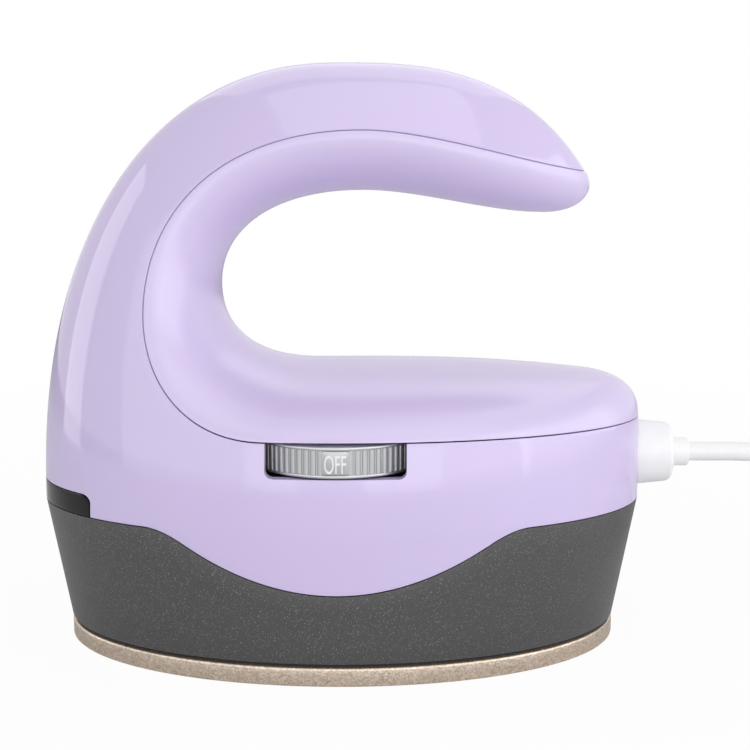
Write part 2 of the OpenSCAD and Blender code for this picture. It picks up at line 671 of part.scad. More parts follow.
// Shaft with a flat for the wheel's hub
hub_fit = 0.02;
module shaft_section(grow = 0) difference() {
    circle(d = shaft_d + 2*grow, $fn = 48);
    translate([shaft_d/2 - 0.8 + grow, -shaft_d]) square([shaft_d, 2*shaft_d]);
}
module dial_shaft() color(steel) {
    translate([0, shaft_y, shaft_z])
        cylinder(h = dial_z - shaft_z, d = shaft_d, $fn = 48);
    translate([0, shaft_y, dial_z - eps]) linear_extrude(dial_t - 1 + eps) shaft_section();
}

// Rib crests and valleys round the wheel; the crests stay under the rims
crest_drop = 0.08;
rim_r = dial_r + rib_h;
function ribbed(r) = [for (i = [0:dial_ribs - 1]) for (k = [[0, 0], [0.2, 1], [0.5, 1], [0.7, 0]])
    let (a = 360*(i + k[0])/dial_ribs) (r + k[1]*(rib_h - crest_drop))*[cos(a), sin(a)]];
label_depth = 0.9;
module label_zone(grow) {
    h = dial_t - 2*rim_t + 2*grow;
    translate([-label_w/2 - grow, -dial_r - 5, dial_z + rim_t - grow])
        cube([label_w + 2*grow, 8, h]);
}
module dial_wheel() color("#b3b5b9") difference() {
    translate([0, shaft_y, dial_z]) {
        cylinder(h = rim_t, r = rim_r, $fn = 96);
        translate([0, 0, rim_t - eps]) linear_extrude(dial_t - 2*rim_t + 2*eps)
            polygon(ribbed(dial_r));
        translate([0, 0, dial_t - rim_t]) cylinder(h = rim_t, r = rim_r, $fn = 96);
    }
    translate([0, shaft_y, 0]) difference() {
        label_zone(0.03);
        cylinder(h = 2*deck_seam_z, r = dial_r - label_depth, $fn = 96);
    }
    // hollow under the rim, round the hub
    translate([0, shaft_y, dial_z - 1]) difference() {
        cylinder(h = dial_t - 1, r = dial_r - 2.4, $fn = 64);
        cylinder(h = dial_t, d = shaft_d + 4, $fn = 48);
    }
    translate([0, shaft_y, dial_z - 1]) linear_extrude(dial_t) shaft_section(hub_fit);
}

module dial_label() color("#c9cbce") translate([0, shaft_y, 0]) intersection() {
    label_zone(0);
    difference() {
        cylinder(h = 2*deck_seam_z, r = dial_r + rib_h + 0.05, $fn = 96);
        translate([0, 0, -1])
            cylinder(h = 2*deck_seam_z + 2, r = dial_r - label_depth + 0.03, $fn = 96);
    }
}

// ---- Window and indicator -----------------------------------------------
// Skin of the nose at a place across it
function nose_at(y, z) = [-half_l(z, -1)*quarter(y/half_w(z), plan_pow), y, z];
// How far the window's top falls towards its rounded corners
function corner_drop(y) = let (d = min(window_corner, window_y - abs(y)))
    window_corner - sqrt(max(0, window_corner*window_corner - pow(window_corner - d, 2)));
module indicator_window() color("#2e2d31") {
    half = concat([for (a = [0:22.5:67.5]) -window_y + window_corner*(1 - cos(a))],
        [for (k = [5:-1:1]) -(window_y - window_corner)*k/5]);
    across_y = concat(half, [0], [for (i = [len(half) - 1:-1:0]) -half[i]]);
    loft([for (y = across_y) let (lo = nose_at(y, kink_z + seam_gap/2),
            hi = nose_at(y, window_top - corner_drop(y)), n = (wall - 0.3)*skin_n(hi))
        [lo, hi, hi - n, lo - n]]);
}

led_board_w = 14;
module indicator_board() color("#1f5c3a")
    translate([led_x, -led_board_w/2, led_low]) cube([board_t, led_board_w, kink_z + 6 - led_low]);

module indicator_leds() color("#f1f3d8") for (y = [-5, 0, 5])
    translate([led_x - 1.2, y - 1.2, kink_z + 1]) cube([1.2, 2.4, 2]);

// ---- Electronics --------------------------------------------------------
module control_board() color("#1f5c3a") translate([0, 0, board_z])
    linear_extrude(board_t) difference() {
        translate([board_x, board_y]) square([board_l, board_w]);
        for (p = board_holes) translate(p) circle(d = 2.6, $fn = 24);
    }

// Small self-tapping screw with a hexagon socket
module small_screw(length) difference() {
    union() {
        cylinder(h = 1.4, d = 4, $fn = 24);
        translate([0, 0, -length]) cylinder(h = length + eps, d = 2.1, $fn = 24);
    }
    translate([0, 0, 0.7]) cylinder(h = 2, d = 1.8, $fn = 6);
}
module board_screws() color(steel) for (p = board_holes)
    translate([p[0], p[1], board_z + board_t]) small_screw(board_t + 2);

parts_z = board_z + board_t;
module power_relay() color("#20406e")
    translate([board_x + 12, board_y + 10, parts_z]) cube([19, 15.4, 15]);

module smoothing_capacitor() color("#26262c")
    translate([board_x + 37, board_y + 14, parts_z]) cylinder(h = 12, d = 8, $fn = 32);

module terminal_block() color("#2f7d4a") translate([board_x + 30, board_y + 0.5, parts_z])
    difference() {
        cube([7, 8, 9]);
        for (y = block_hole) translate([4, y, 4]) rotate([0, 90, 0])
            cylinder(h = 4, d = 2.4, $fn = 24);
    }

module controller_chip() color(black)
    translate([board_x + 8, board_y + 2, parts_z]) cube([8, 5, 1.6]);

// ---- Cord ---------------------------------------------------------------
collar_x = body_l/2 + 0.3;
stub_x = collar_x + collar_l;
lead_start = stub_x + stub_l;
flange_x = collar_seat - 2.4;
module cord_bushing() color(white) translate([0, 0, cord_z]) rotate([0, 90, 0]) {
    bore = cord_d/2 + fit/2;
    rotate_extrude($fn = 64) polygon([
        [bore, flange_x], [collar_d/2 + 1.2, flange_x], [collar_d/2 + 1.2, flange_x + 1.6],
        [collar_d/2, flange_x + 1.6], [collar_d/2, collar_x],
        [collar_end_d/2, stub_x - 0.9], [collar_end_d/2 - 0.3, stub_x - 0.3],
        [collar_end_d/2 - 0.9, stub_x], [stub_d/2, stub_x],
        [stub_d/2, lead_start - 0.3], [stub_d/2 - 0.3, lead_start], [bore, lead_start]]);
}

// Two jaws, one under and one over the cord, on the same two screws
jaw_t = cord_d/2 + clamp_t - clamp_bite;
module jaw(z) difference() {
    translate([clamp_x, -clamp_y, z]) cube([clamp_l, 2*clamp_y, jaw_t]);
    translate([clamp_x - 1, 0, cord_z]) rotate([0, 90, 0])
        cylinder(h = clamp_l + 2, d = cord_d + fit, $fn = 32);
    for (y = [-clamp_screw_y, clamp_screw_y]) translate([clamp_x + clamp_l/2, y, z - 1])
        cylinder(h = jaw_t + 2, d = 2.6, $fn = 24);
}
module cord_saddle() color(black) jaw(saddle_z);
module cord_clamp() color(black) jaw(cord_z + clamp_bite);

jaw_top = cord_z + clamp_bite + jaw_t;
module clamp_screws() color(steel) for (y = [-clamp_screw_y, clamp_screw_y])
    translate([clamp_x + clamp_l/2, y, jaw_top]) small_screw(jaw_top - saddle_z + 4);

cord_end = clamp_x - 2;
module cord_inner() color(white) translate([cord_end, 0, cord_z]) rotate([0, 90, 0])
    cylinder(h = lead_start - cord_end, d = cord_d, $fn = 32);

wire_d = 1.2;
along = [1, 0, 0];
across = [0, -1, 0];
// Tube whose end faces are square to given directions
module cord_tube(path, sides, start, end, d = cord_d) {
    n = len(path) - 1;
    loft([for (i = [0:n]) ring_at(path[i], i == 0 ? start : i == n ? end
        : unit(path[i + 1] - path[i - 1]), d/2, sides, [0, 0, 1])]);
}

// From the end of the cord past the posts to the terminal block
block_x = board_x + 37;
block_y = board_y + 0.5;
block_hole = [2.2, 5.8];
wire_z = parts_z + 4;
wire_gap = 0.75;
module mains_wires() color("#3a6fb0") for (w = [
        [-wire_gap, block_y + block_hole[0], [[31.5, -3, 32.4], [28, -6.4, 31], [24, -7.6, 29.5],
            [18, -7.8, 27], [12, -7.6, 25], [8.5, -6.8, 23.6]]],
        [wire_gap, block_y + block_hole[1], [[31.5, -1, 32.6], [28, -4.4, 31.5], [24, -5.4, 30],
            [18, -5.4, 27.5], [12, -5.2, 25], [8.5, -3.6, 23.6]]]])
    cord_tube(concat([[cord_end, w[0], cord_z], [cord_end - 2, w[0], cord_z]], w[2],
        [[block_x + 4, w[1], wire_z], [block_x - 2.5, w[1], wire_z]]), 6, -along, -along, wire_d);

// From the element's pins up beside the board and over to the relay
pin_x = tube_end - pin_l;
relay_x = board_x + 12;
module element_wires() color("#c24b3c") for (s = [-1, 1])
    cord_tube([[pin_x, s*tube_y, tube_z], [pin_x - 1.6, s*tube_y, tube_z + 0.2],
        [lead_x + 1, s*tube_y, tube_z + 1.6], [lead_x, s*tube_y, pad_z + pad_t],
        [lead_x, s*tube_y, frame_top + 2], [lead_x, s*(tube_y - 1), board_z + 4],
        [lead_x + 1.6, s*(tube_y - 3) + 1, parts_z + 7.6],
        [relay_x - 6, s*(tube_y - 6) + 4, parts_z + 10.4],
        [relay_x - 2, s*2 + 8, parts_z + 11], [relay_x, s*2 + 8, parts_z + 11]],
        6, -along, along, wire_d);

// Route of the cord, straight out of the stub and down to the top of the coil
lead_route = [[68, 0, 33], [72, 0, 33], [76, 0, 32.8], [80.5, 0, 32], [85, 0, 30.2],
    [89.5, 0, 27.6], [94, 0, 24.4], [98.5, 0, 21.2], [103, 0, 18.4], [107.5, 0, 16.1],
    [112, 0, 14.4]];
// Coil: centre, and turns always three quarters over a whole number
coil_x = 120;
coil_turns = 12.75;
coil_layers = 4;
coil_steps = 24;
turns_each = coil_turns/coil_layers;
coil_big = coil_r + turns_each*turn_step;
coil_top = cord_d/2 + (coil_layers - 1)*layer_step;
// Radius spirals in and out by turns; each reversal carries a climb of half a turn
function coil_radius(u) = let (k = min(coil_layers - 1, floor(u/turns_each)), f = u/turns_each - k)
    k%2 == 0 ? mix(coil_big, coil_r, f) : mix(coil_r, coil_big, f);
function coil_height(u, k = 1) = k >= coil_layers ? coil_top
    : coil_height(u, k + 1) - layer_step*smooth((u - k*turns_each + 0.25)/0.5);
function coil_at(u) = let (a = 360*u - 90, r = coil_radius(u))
    [coil_x + r*cos(a), coil_big + r*sin(a), coil_height(u)];
coil_path = concat([[coil_x - cord_d, 0, coil_top]],
    [for (i = [0:coil_turns*coil_steps]) coil_at(i/coil_steps)],
    [[coil_x - coil_big, coil_big - cord_d, cord_d/2]]);
// Least gap between stretches of the coil that are a third of a turn or more apart
function coil_gap() = min([for (i = [0:2:len(coil_path) - 10])
    for (j = [i + 9:len(coil_path) - 1]) norm(coil_path[i] - coil_path[j])]) - cord_d;
function length_of(path) = len(path) < 2 ? 0
    : [for (i = 1, s = 0; i <= len(path); s = s + (i < len(path) ? norm(path[i] - path[i - 1])
        : 0), i = i + 1) s][len(path) - 1];

lead_path = concat([[lead_start, 0, cord_z]], lead_route, [coil_path[0]]);
// From the coil back along the floor, round a quarter bend and up a little to the
// plug, which lies beside the coil
plug_w = 18.4;
plug_z = 6.5;
plug_y = -cord_d/2 - 0.7 - plug_w/2;
tail_x = coil_x - coil_big;
tail_r = 16;
tail_run = coil_big - cord_d - plug_y - tail_r;
function tail_height(s) = mix(cord_d/2, plug_z, smooth(s/(tail_run + tail_r*PI/2)));
tail_path = concat(
    [for (k = [0:5]) [tail_x, coil_big - cord_d - tail_run*k/6, tail_height(tail_run*k/6)]],
    [for (a = [0:15:90]) [tail_x + tail_r*(1 - cos(a)), plug_y + tail_r*(1 - sin(a)),
        tail_height(tail_run + tail_r*a*PI/180)]]);

module cord_lead() color(white) cord_tube(lead_path, 8, along, along);
module cord_coil() color(white) {
    cord_tube(coil_path, 6, along, across);
    echo(least_gap = coil_gap(), cord_length = length_of(lead_path) + length_of(coil_path)
        + length_of(tail_path) + lead_start - cord_end);
}
module cord_tail() color(white) cord_tube(tail_path, 8, across, along);

// ---- Plug ---------------------------------------------------------------
relief_l = 13;
grip_l = 22;
blade_l = 17;
relief_x = tail_x + tail_r;
grip_x = relief_x + relief_l;
plug_face = grip_x + grip_l;
function rounded(x, w, h, p, n = 24) = [for (i = [0:n - 1]) let (a = 360*i/n)
    [x, plug_y + sign(cos(a))*w/2*pow(abs(cos(a)), 2/p),
     plug_z + sign(sin(a))*h/2*pow(abs(sin(a)), 2/p)]];
module plug_body() color(white) loft([
    rounded(relief_x, 4.8, 4.8, 2), rounded(relief_x + 6, 5.4, 5.4, 2),
    rounded(grip_x, 6.6, 6.6, 2.2), rounded(grip_x + 2, 11, 9, 3),
    rounded(grip_x + 8, 14, 10.5, 3.4), rounded(grip_x + 15, 16, 11.5, 4),
    rounded(plug_face - 4, 18, 12.6, 5), rounded(plug_face, plug_w, 12.8, 5)]);

blade_w = 6.35;
blade_t = 1.5;
blade_gap = 12.7;
module plug_blades() color(steel) for (s = [-1, 1])
    translate([plug_face, plug_y + s*blade_gap/2 + blade_t/2, plug_z]) rotate([90, 0, 0])
        linear_extrude(blade_t) difference() {
            polygon([[0, -blade_w/2], [blade_l - 1.5, -blade_w/2],
                [blade_l, -blade_w/2 + 1.2], [blade_l, blade_w/2 - 1.2],
                [blade_l - 1.5, blade_w/2], [0, blade_w/2]]);
            translate([blade_l - 4, 0]) circle(d = 3.2, $fn = 24);
        }

outer_shell();
inner_shell();
base_skirt();
heat_plate();
plate_seal();
indicator_window();
indicator_board();
indicator_leds();
dial_wheel();
dial_label();
dial_shaft();
dial_housing();
rotary_switch();
base_frame();
heating_element();
element_pins();
terminal_beads();
thermal_fuse();
fuse_clip();
thermistor();
felt_pad();
heat_shield();
plate_screws();
deck_posts();
deck_screws();
housing_screws();
control_board();
board_screws();
power_relay();
smoothing_capacitor();
terminal_block();
controller_chip();
cord_bushing();
cord_saddle();
cord_clamp();
clamp_screws();
cord_inner();
mains_wires();
element_wires();
cord_lead();
cord_coil();
cord_tail();
plug_body();
plug_blades();
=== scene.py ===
"""Mini handheld heat press: the visible pieces and finishes, built around its frame."""
import json
import math

import bmesh
import bpy
from bpy.props import (FloatProperty, FloatVectorProperty, IntProperty, PointerProperty,
                       StringProperty)
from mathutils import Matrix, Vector


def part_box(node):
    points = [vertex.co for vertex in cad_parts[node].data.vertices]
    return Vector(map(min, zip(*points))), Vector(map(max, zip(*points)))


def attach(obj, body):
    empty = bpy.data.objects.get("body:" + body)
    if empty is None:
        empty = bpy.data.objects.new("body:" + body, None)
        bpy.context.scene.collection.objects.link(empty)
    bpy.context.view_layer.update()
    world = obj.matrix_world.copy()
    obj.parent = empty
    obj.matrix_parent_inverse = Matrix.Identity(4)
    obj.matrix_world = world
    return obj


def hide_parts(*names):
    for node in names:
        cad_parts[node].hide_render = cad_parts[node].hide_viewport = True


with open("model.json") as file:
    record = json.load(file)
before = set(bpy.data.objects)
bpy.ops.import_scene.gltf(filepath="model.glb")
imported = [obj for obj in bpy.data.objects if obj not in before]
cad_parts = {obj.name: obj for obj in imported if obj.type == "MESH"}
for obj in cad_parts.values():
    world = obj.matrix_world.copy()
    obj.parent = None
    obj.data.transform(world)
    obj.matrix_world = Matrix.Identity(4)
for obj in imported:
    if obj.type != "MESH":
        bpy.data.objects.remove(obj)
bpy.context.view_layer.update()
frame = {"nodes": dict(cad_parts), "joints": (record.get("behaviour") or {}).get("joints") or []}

bl_info = {
    "name": "Mini Heat Press",
    "version": (1, 0, 0),
    "blender": (4, 5, 0),
    "location": "3D View > Sidebar > Heat Press",
    "description": "Builds the shells, skirt, dial, window and cord of a mini handheld heat press",
    "category": "Object",
}

MM = 0.001
FINE = 4          # rows of the shells drawn for each row of the frame's shells
COLUMNS = 24      # columns from a seam to the outline
ROUND_STEPS = 3   # steps of a rounded edge
SHARP = math.radians(38)


def linear(code):
    """Linear colour of an sRGB hex code."""
    parts = [int(code[i:i + 2], 16) / 255 for i in (1, 3, 5)]
    return [c / 12.92 if c <= 0.04045 else ((c + 0.055) / 1.055) ** 2.4 for c in parts]


def box_mm(node):
    """Lowest and highest corner of a frame node, in millimetres."""
    lo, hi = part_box(node)
    return lo / MM, hi / MM


# ---------------------------------------------------------------- outline rules
def mix(a, b, t):
    """The value at share t of the way from a to b."""
    return a + (b - a) * t


def smooth(t):
    """Share t eased at both ends and held between 0 and 1."""
    t = min(1.0, max(0.0, t))
    return t * t * (3 - 2 * t)


def quarter(q, power):
    """Height of a quarter superellipse at share q of its reach."""
    return max(0.0, 1 - min(1.0, abs(q)) ** power) ** (1 / power)


def bezier(p, t):
    """Point at share t of a cubic curve with four control points."""
    return ((1 - t) ** 3 * p[0] + 3 * (1 - t) ** 2 * t * p[1]
            + 3 * (1 - t) * t * t * p[2] + t ** 3 * p[3])


def lookup(x, table):
    """Straight-line reading of a table of (x, value) pairs."""
    for (x0, v0), (x1, v1) in zip(table, table[1:]):
        if x <= x1:
            return mix(v0, v1, (x - x0) / (x1 - x0))
    return table[-1][1]


class Outline:
    """The press's outline in millimetres: its skin, its seam and the outline of the hand gap."""
    # squareness of the nose, the tail and the width, and how much narrower the crown is
    nose_pow = 2.25
    tail_pow = 2.78
    width_pow = 3.4
    waist = 0.42
    # wall of the mouldings and the gap between two of them
    wall = 2.0
    seam_gap = 0.2
    # the seam under the crown, behind the hand gap and along the deck
    seam_drop = 12.3
    handle_x = 4.0
    seam_back = 21.7
    back_z = 61.0
    back_t = 32.3
    deck_seam = (-12.0, 40.4)
    # the hand gap: deck, height, the handle's tip and the deck's end
    deck_z = 50.0
    hand_gap = 30.6
    tip_drop = 18.9
    tip_sag = 3.9
    tip_len = 8.0
    deck_fall = 1.7
    deck_round = 9.0
    # the wave between shell and skirt: lowest point, half width and softness
    wave_z = 15.6
    wave_w = 28.6
    wave_soft = 2.4
    # fullness of the inner shell, and its wall towards its two ends
    belly = 0.35
    crown_share = 0.6
    end_wall = 0.3
    end_rate = 0.35
    # share of the seam in the first and the last stretch of the rows, and their rear angle
    tip_share = 0.3
    tail_share = 0.8
    rear_angle = 150.0

    def __init__(self):
        shell_lo, shell_hi = box_mm("outer_shell")
        skirt_lo, skirt_hi = box_mm("base_skirt")
        plate_lo, plate_hi = box_mm("heat_plate")
        self.body_l = shell_hi.x - shell_lo.x
        self.body_w = shell_hi.y - shell_lo.y
        self.body_h = shell_hi.z
        self.plate_l = plate_hi.x - plate_lo.x
        self.plate_w = plate_hi.y - plate_lo.y
        self.skirt_z = skirt_lo.z
        self.kink_z = skirt_hi.z + self.seam_gap / 2
        self.draw_seam_and_gap()

    def draw_seam_and_gap(self):
        """Seam and gap as four and six cubic stretches in side view, from the tip to the tail."""
        def v(x, z):
            return Vector((x, z))
        tip_z = self.body_h - self.tip_drop
        tip = v(self.half_l(tip_z, 1), tip_z)
        front = v(*self.deck_seam)
        tail = v(self.half_l(front.y, 1), front.y)
        top = v(self.handle_x, self.body_h - self.seam_drop)
        rear = v(self.seam_back - self.body_l / 2, self.back_z)
        gap_top = v(self.handle_x, self.deck_z + self.hand_gap)
        gap_rear = v(self.back_t - self.body_l / 2, self.back_z + 2.5)
        gap_front = v(gap_rear.x + 18, self.deck_z)
        gap_low = v(tip.x - self.tip_len, gap_top.y - self.tip_sag)
        deck_end = v(tail.x - self.deck_round, self.deck_z - self.deck_fall)
        seam = [
            [tip, tip + v(-10, 0.5), top + v(12, 0), top],
            [top, top - v(22.3, 0), rear + v(0, 17.6), rear],
            [rear, rear - v(0, 11.1), front - v(13.1, 0), front],
            [front, mix(front, tail, 1 / 3), mix(front, tail, 2 / 3), tail]]
        gap = [
            [tip, tip + v(2.6, -3), gap_low + v(8, -0.4), gap_low],
            [gap_low, gap_low - v(9, 0), gap_top + v(10, 0), gap_top],
            [gap_top, gap_top - v(16.8, 0), gap_rear + v(0, 9.7), gap_rear],
            [gap_rear, gap_rear - v(0, 8.2), gap_front - v(12.1, 0), gap_front],
            [gap_front, gap_front + v(18.5, 0), deck_end + v(-18.8, 1.9), deck_end],
            [deck_end, deck_end + v(5.8, -0.7), tail + v(0, 4.8), tail]]
        # rows, seam stretch, share of it reached at t, gap stretch
        self.stretches = [
            (7, seam[0], lambda t: self.tip_share * t * t, gap[0]),
            (10, seam[0], lambda t: mix(self.tip_share, 1, t), gap[1]),
            (14, seam[1], lambda t: t, gap[2]),
            (10, seam[2], lambda t: t, gap[3]),
            (16, seam[3], lambda t: self.tail_share * t, gap[4]),
            (8, seam[3], lambda t: mix(self.tail_share, 1, 1 - (1 - t) ** 2), gap[5])]
        counts = [s[0] for s in self.stretches]
        self.last = sum(counts)
        self.crown = sum(counts[:2])
        rear_row = sum(counts[:3])
        self.nose = rear_row + 6
        tip_angle = math.degrees(math.asin(
            ((tip_z - self.kink_z) / (self.body_h - self.kink_z)) ** (self.tail_pow / 2)))
        self.angles = [
            (0, tip_angle), (self.crown, 90), (rear_row, self.rear_angle), (self.nose, 180),
            (sum(counts[:4]), 216), (sum(counts[:5]), 318), (self.last, 360)]

    def level(self, z):
        """How far up the shell a height lies, as a share."""
        return min(0.9999, max(0.0, (z - self.kink_z) / (self.body_h - self.kink_z)))

    def foot(self, z):
        """How far up the skirt a height lies, as a share."""
        return min(1.0, max(0.0, (z - self.skirt_z) / (self.kink_z - self.skirt_z)))

    def half_l(self, z, side):
        """Reach of the skin at a height, towards the nose (side below 0) or the tail."""
        if z < self.kink_z:
            return mix(self.plate_l, self.body_l, self.foot(z)) / 2
        power = self.nose_pow if side < 0 else self.tail_pow
        return self.body_l / 2 * quarter(self.level(z), power)

    def half_w(self, z):
        """Half width of the skin at a height."""
        if z < self.kink_z:
            return mix(self.plate_w, self.body_w, self.foot(z)) / 2
        q = self.level(z)
        return self.body_w / 2 * math.sqrt(1 - q ** self.width_pow) * (1 - self.waist * smooth(q))

    def skin_y(self, x, z):
        """Half width of the skin at a place along it and a height."""
        return self.half_w(z) * quarter(x / max(0.01, self.half_l(z, x)), 2)

    def skin_value(self, p):
        """1 on the skin, less inside it and more outside."""
        return ((p.x / max(0.01, self.half_l(p.z, p.x))) ** 2
                + (p.y / max(0.01, self.half_w(p.z))) ** 2)

    def skin_normal(self, p):
        """Outward direction of the skin at a point."""
        step = 0.01
        n = Vector((0, 0, 1e-9))
        for k in range(3):
            d = Vector((0, 0, 0))
            d[k] = step
            n[k] += self.skin_value(p + d) - self.skin_value(p - d)
        return n.normalized()

    def plan_at(self, z, angle, inset=0.0):
        """Point of the oval at a height and an angle, so far inside the skin."""
        a = math.radians(angle)
        return Vector((math.cos(a) * (self.half_l(z, math.cos(a)) - inset),
                       math.sin(a) * (self.half_w(z) - inset), z))

    def wave(self, x):
        """Height of the wave at a place along the press."""
        dip = self.wave_z + (self.kink_z - self.wave_z) * (x / self.wave_w) ** 2
        h = max(0.0, self.wave_soft - abs(self.kink_z - dip))
        return min(self.kink_z, dip) - h * h / (4 * self.wave_soft)

    def edge_z(self, angle):
        """Height of the wave at an angle round the press."""
        c = math.cos(math.radians(angle))
        return self.wave(c * self.half_l(self.wave(c * self.body_l / 2), c))

    def nose_at(self, y, z):
        """Point of the nose's skin."""
        return Vector((-self.half_l(z, -1) * quarter(y / self.half_w(z), 2), y, z))

    def row(self, r):
        """Seam point and gap point of row r, which may lie between whole rows."""
        r = min(self.last, max(0.0, r))
        for count, seam, share, gap in self.stretches:
            if r <= count:
                return bezier(seam, share(r / count)), bezier(gap, r / count)
            r -= count
        return bezier(seam, 1), bezier(gap, 1)

    def side_at(self, angle):
        """Point of the side view's outline at an angle, 0 at the tail and 180 at the nose."""
        a = math.radians(angle)
        power = self.tail_pow if angle < 90 else self.nose_pow
        x = math.copysign(self.body_l / 2 * abs(math.cos(a)) ** (2 / power), math.cos(a))
        rise = (self.body_h - self.kink_z) * max(0, math.sin(a)) ** (2 / power)
        return Vector((x, self.kink_z + rise))

    def outer_at(self, r, f):
        """Point of the outer shell's near skin: row r, share f from the seam to its outer end."""
        s = self.row(r)[0]
        a = lookup(r, self.angles)
        on_side = r <= self.nose
        z_end = self.side_at(a).y if on_side else self.edge_z(a) + self.seam_gap / 2
        c = math.cos(math.radians(a))
        x_end = self.side_at(a).x if on_side else c * self.half_l(z_end, c)
        g = math.sin(math.pi / 2 * f)
        side = Vector((mix(s.x, x_end, g), mix(s.y, z_end, g)))
        reach = math.degrees(math.acos(min(1, abs(s.x) / self.half_l(s.y, s.x))))
        start = 180 - reach if s.x < 0 else reach
        end = 180 if on_side else 360 - a
        am = math.cos(math.radians(mix(start, end, f)))
        zm = mix(s.y, z_end, f)
        w = smooth((r - self.crown - 4) / (self.nose - self.crown - 6))
        p = mix(side, Vector((am * self.half_l(zm, am), zm)), w)
        flat = r == 0 or r == self.last or (on_side and f == 1)
        return Vector((p.x, 0 if flat else -self.skin_y(p.x, p.y), p.y))

    def lip(self, r):
        """Edge of the inner shell, one seam gap from the seam."""
        d = (self.row(r + 0.5)[0] - self.row(r - 0.5)[0]).normalized()
        return self.row(r)[0] + self.seam_gap * Vector((-d.y, d.x))

    def inner_at(self, r, f):
        """Point of the inner shell's near skin: row r, share f from its lip to the hand gap."""
        s = self.lip(r)
        if r <= 0 or r >= self.last:
            return Vector((s.x, 0, s.y))
        g = self.row(r)[1]
        b = mix(s, g, self.belly)
        y = self.skin_y(s.x, s.y)
        p = bezier([Vector((s.x, -y, s.y)), Vector((b.x, -self.skin_y(b.x, b.y), b.y)),
                    Vector((g.x, -y * self.crown_share, g.y)), Vector((g.x, 0, g.y))], f)
        return Vector((p.x, 0 if f == 1 else p.y, p.z))

    def inner_normal(self, r, f):
        """Outward direction of the inner shell's skin."""
        if r <= 0 or r >= self.last or f == 0:
            return self.skin_normal(self.inner_at(r, f))
        d, h = 0.02, 0.25
        u = self.inner_at(r + h, f) - self.inner_at(r - h, f)
        v = self.inner_at(r, min(1, f + d)) - self.inner_at(r, max(0, f - d))
        n = u.cross(v).normalized()
        return Vector((n.x, 0, n.z)).normalized() if f == 1 else n

    def inner_wall(self, r):
        """Wall of the inner shell at row r, thinner where the shell narrows to its ends."""
        return min(self.wall, self.end_wall + self.end_rate * abs(self.inner_at(r, 0).y))


# ---------------------------------------------------------------- making meshes
def new_piece(name, bm, material, body="root", nodes=()):
    """A finished piece from a bmesh in millimetres, smooth but for its sharp edges.
    Without a body it is still to be cut, and is declared afterwards."""
    bmesh.ops.scale(bm, vec=(MM, MM, MM), verts=bm.verts)
    mesh = bpy.data.meshes.new(name)
    bm.to_mesh(mesh)
    bm.free()
    piece = bpy.data.objects.new(name, mesh)
    bpy.context.scene.collection.objects.link(piece)
    piece.data.materials.append(material)
    soften(piece)
    if body:
        declare(piece, body, nodes)
    return piece


def declare(piece, body, nodes):
    """Says which body and frame nodes a piece stands for."""
    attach(piece, body)
    if nodes:
        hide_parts(*nodes)


def soften(piece, angle=SHARP):
    """Smooth shading with sharp edges where faces meet at more than the angle."""
    piece.data.polygons.foreach_set("use_smooth", [True] * len(piece.data.polygons))
    piece.data.set_sharp_from_angle(angle=angle)


def settle(piece):
    """Turns a piece's modifiers into its plain mesh."""
    bpy.context.view_layer.update()
    shown = piece.evaluated_get(bpy.context.evaluated_depsgraph_get())
    mesh = bpy.data.meshes.new_from_object(shown)
    piece.modifiers.clear()
    piece.data = mesh


def close_up(bm, distance=0.0004):
    """Merges doubled points and turns every face outwards."""
    bmesh.ops.remove_doubles(bm, verts=bm.verts, dist=distance)
    bmesh.ops.dissolve_degenerate(bm, edges=bm.edges, dist=distance)
    bmesh.ops.recalc_face_normals(bm, faces=bm.faces)


def band(bm, a, b, gap=None):
    """Faces between two closed rings of vertices, but for the column given as a gap."""
    count = len(a)
    for j in range(count):
        if j != gap:
            k = (j + 1) % count
            bm.faces.new((a[j], b[j], b[k], a[k]))


def loft(bm, rings, joined=False):
    """Faces between rings of points; the ends are capped, or joined to each other."""
    grid = [[bm.verts.new(p) for p in ring] for ring in rings]
    for a, b in zip(grid, grid[1:]):
        band(bm, a, b)
    if joined:
        band(bm, grid[-1], grid[0])
    else:
        bm.faces.new(grid[0])
        bm.faces.new(grid[-1][::-1])


def revolve(bm, profile, place, steps=96):
    """Turns a closed profile of (radius, height) round an axis; place maps (x, y, height)."""
    rings = []
    for i in range(steps):
        a = math.tau * i / steps
        rings.append([place(r * math.cos(a), r * math.sin(a), h) for r, h in profile])
    loft(bm, rings, joined=True)


def fillet(edge, into, normal, radius):
    """Quarter round from the rim under an edge to the skin beside it."""
    centre = edge + radius * (into - normal)
    turns = [math.pi / 2 * k / ROUND_STEPS for k in range(ROUND_STEPS + 1)]
    return [centre + radius * (normal * math.sin(t) - into * math.cos(t)) for t in turns]


def outer_section(shape, r, edge_round):
    """Closed section of the outer shell's near half at row r."""
    shares = [k / COLUMNS for k in range(COLUMNS + 1)]
    skin = [shape.outer_at(r, f) for f in shares]
    normals = [shape.skin_normal(p) for p in skin]
    inside = [p - shape.wall * n for p, n in zip(skin, normals)]
    seam = rounded_edge(skin[0], skin[1], normals[0], edge_round)
    end_round = edge_round if r > shape.nose else 0.0
    foot = rounded_edge(skin[-1], skin[-2], normals[-1], end_round)[::-1]
    return seam + skin[1:-1] + foot + inside[::-1]


def rounded_edge(edge, beside, normal, radius):
    """Points of an edge's round, from rim to skin; no wider than the skin beside it allows."""
    into = beside - edge
    radius = min(radius, into.length * 0.3)
    into = into.normalized() if into.length > 1e-9 else Vector((0, 0, 0))
    into = (into - normal * into.dot(normal)).normalized() if into.length else into
    return fillet(edge, into, normal, radius)


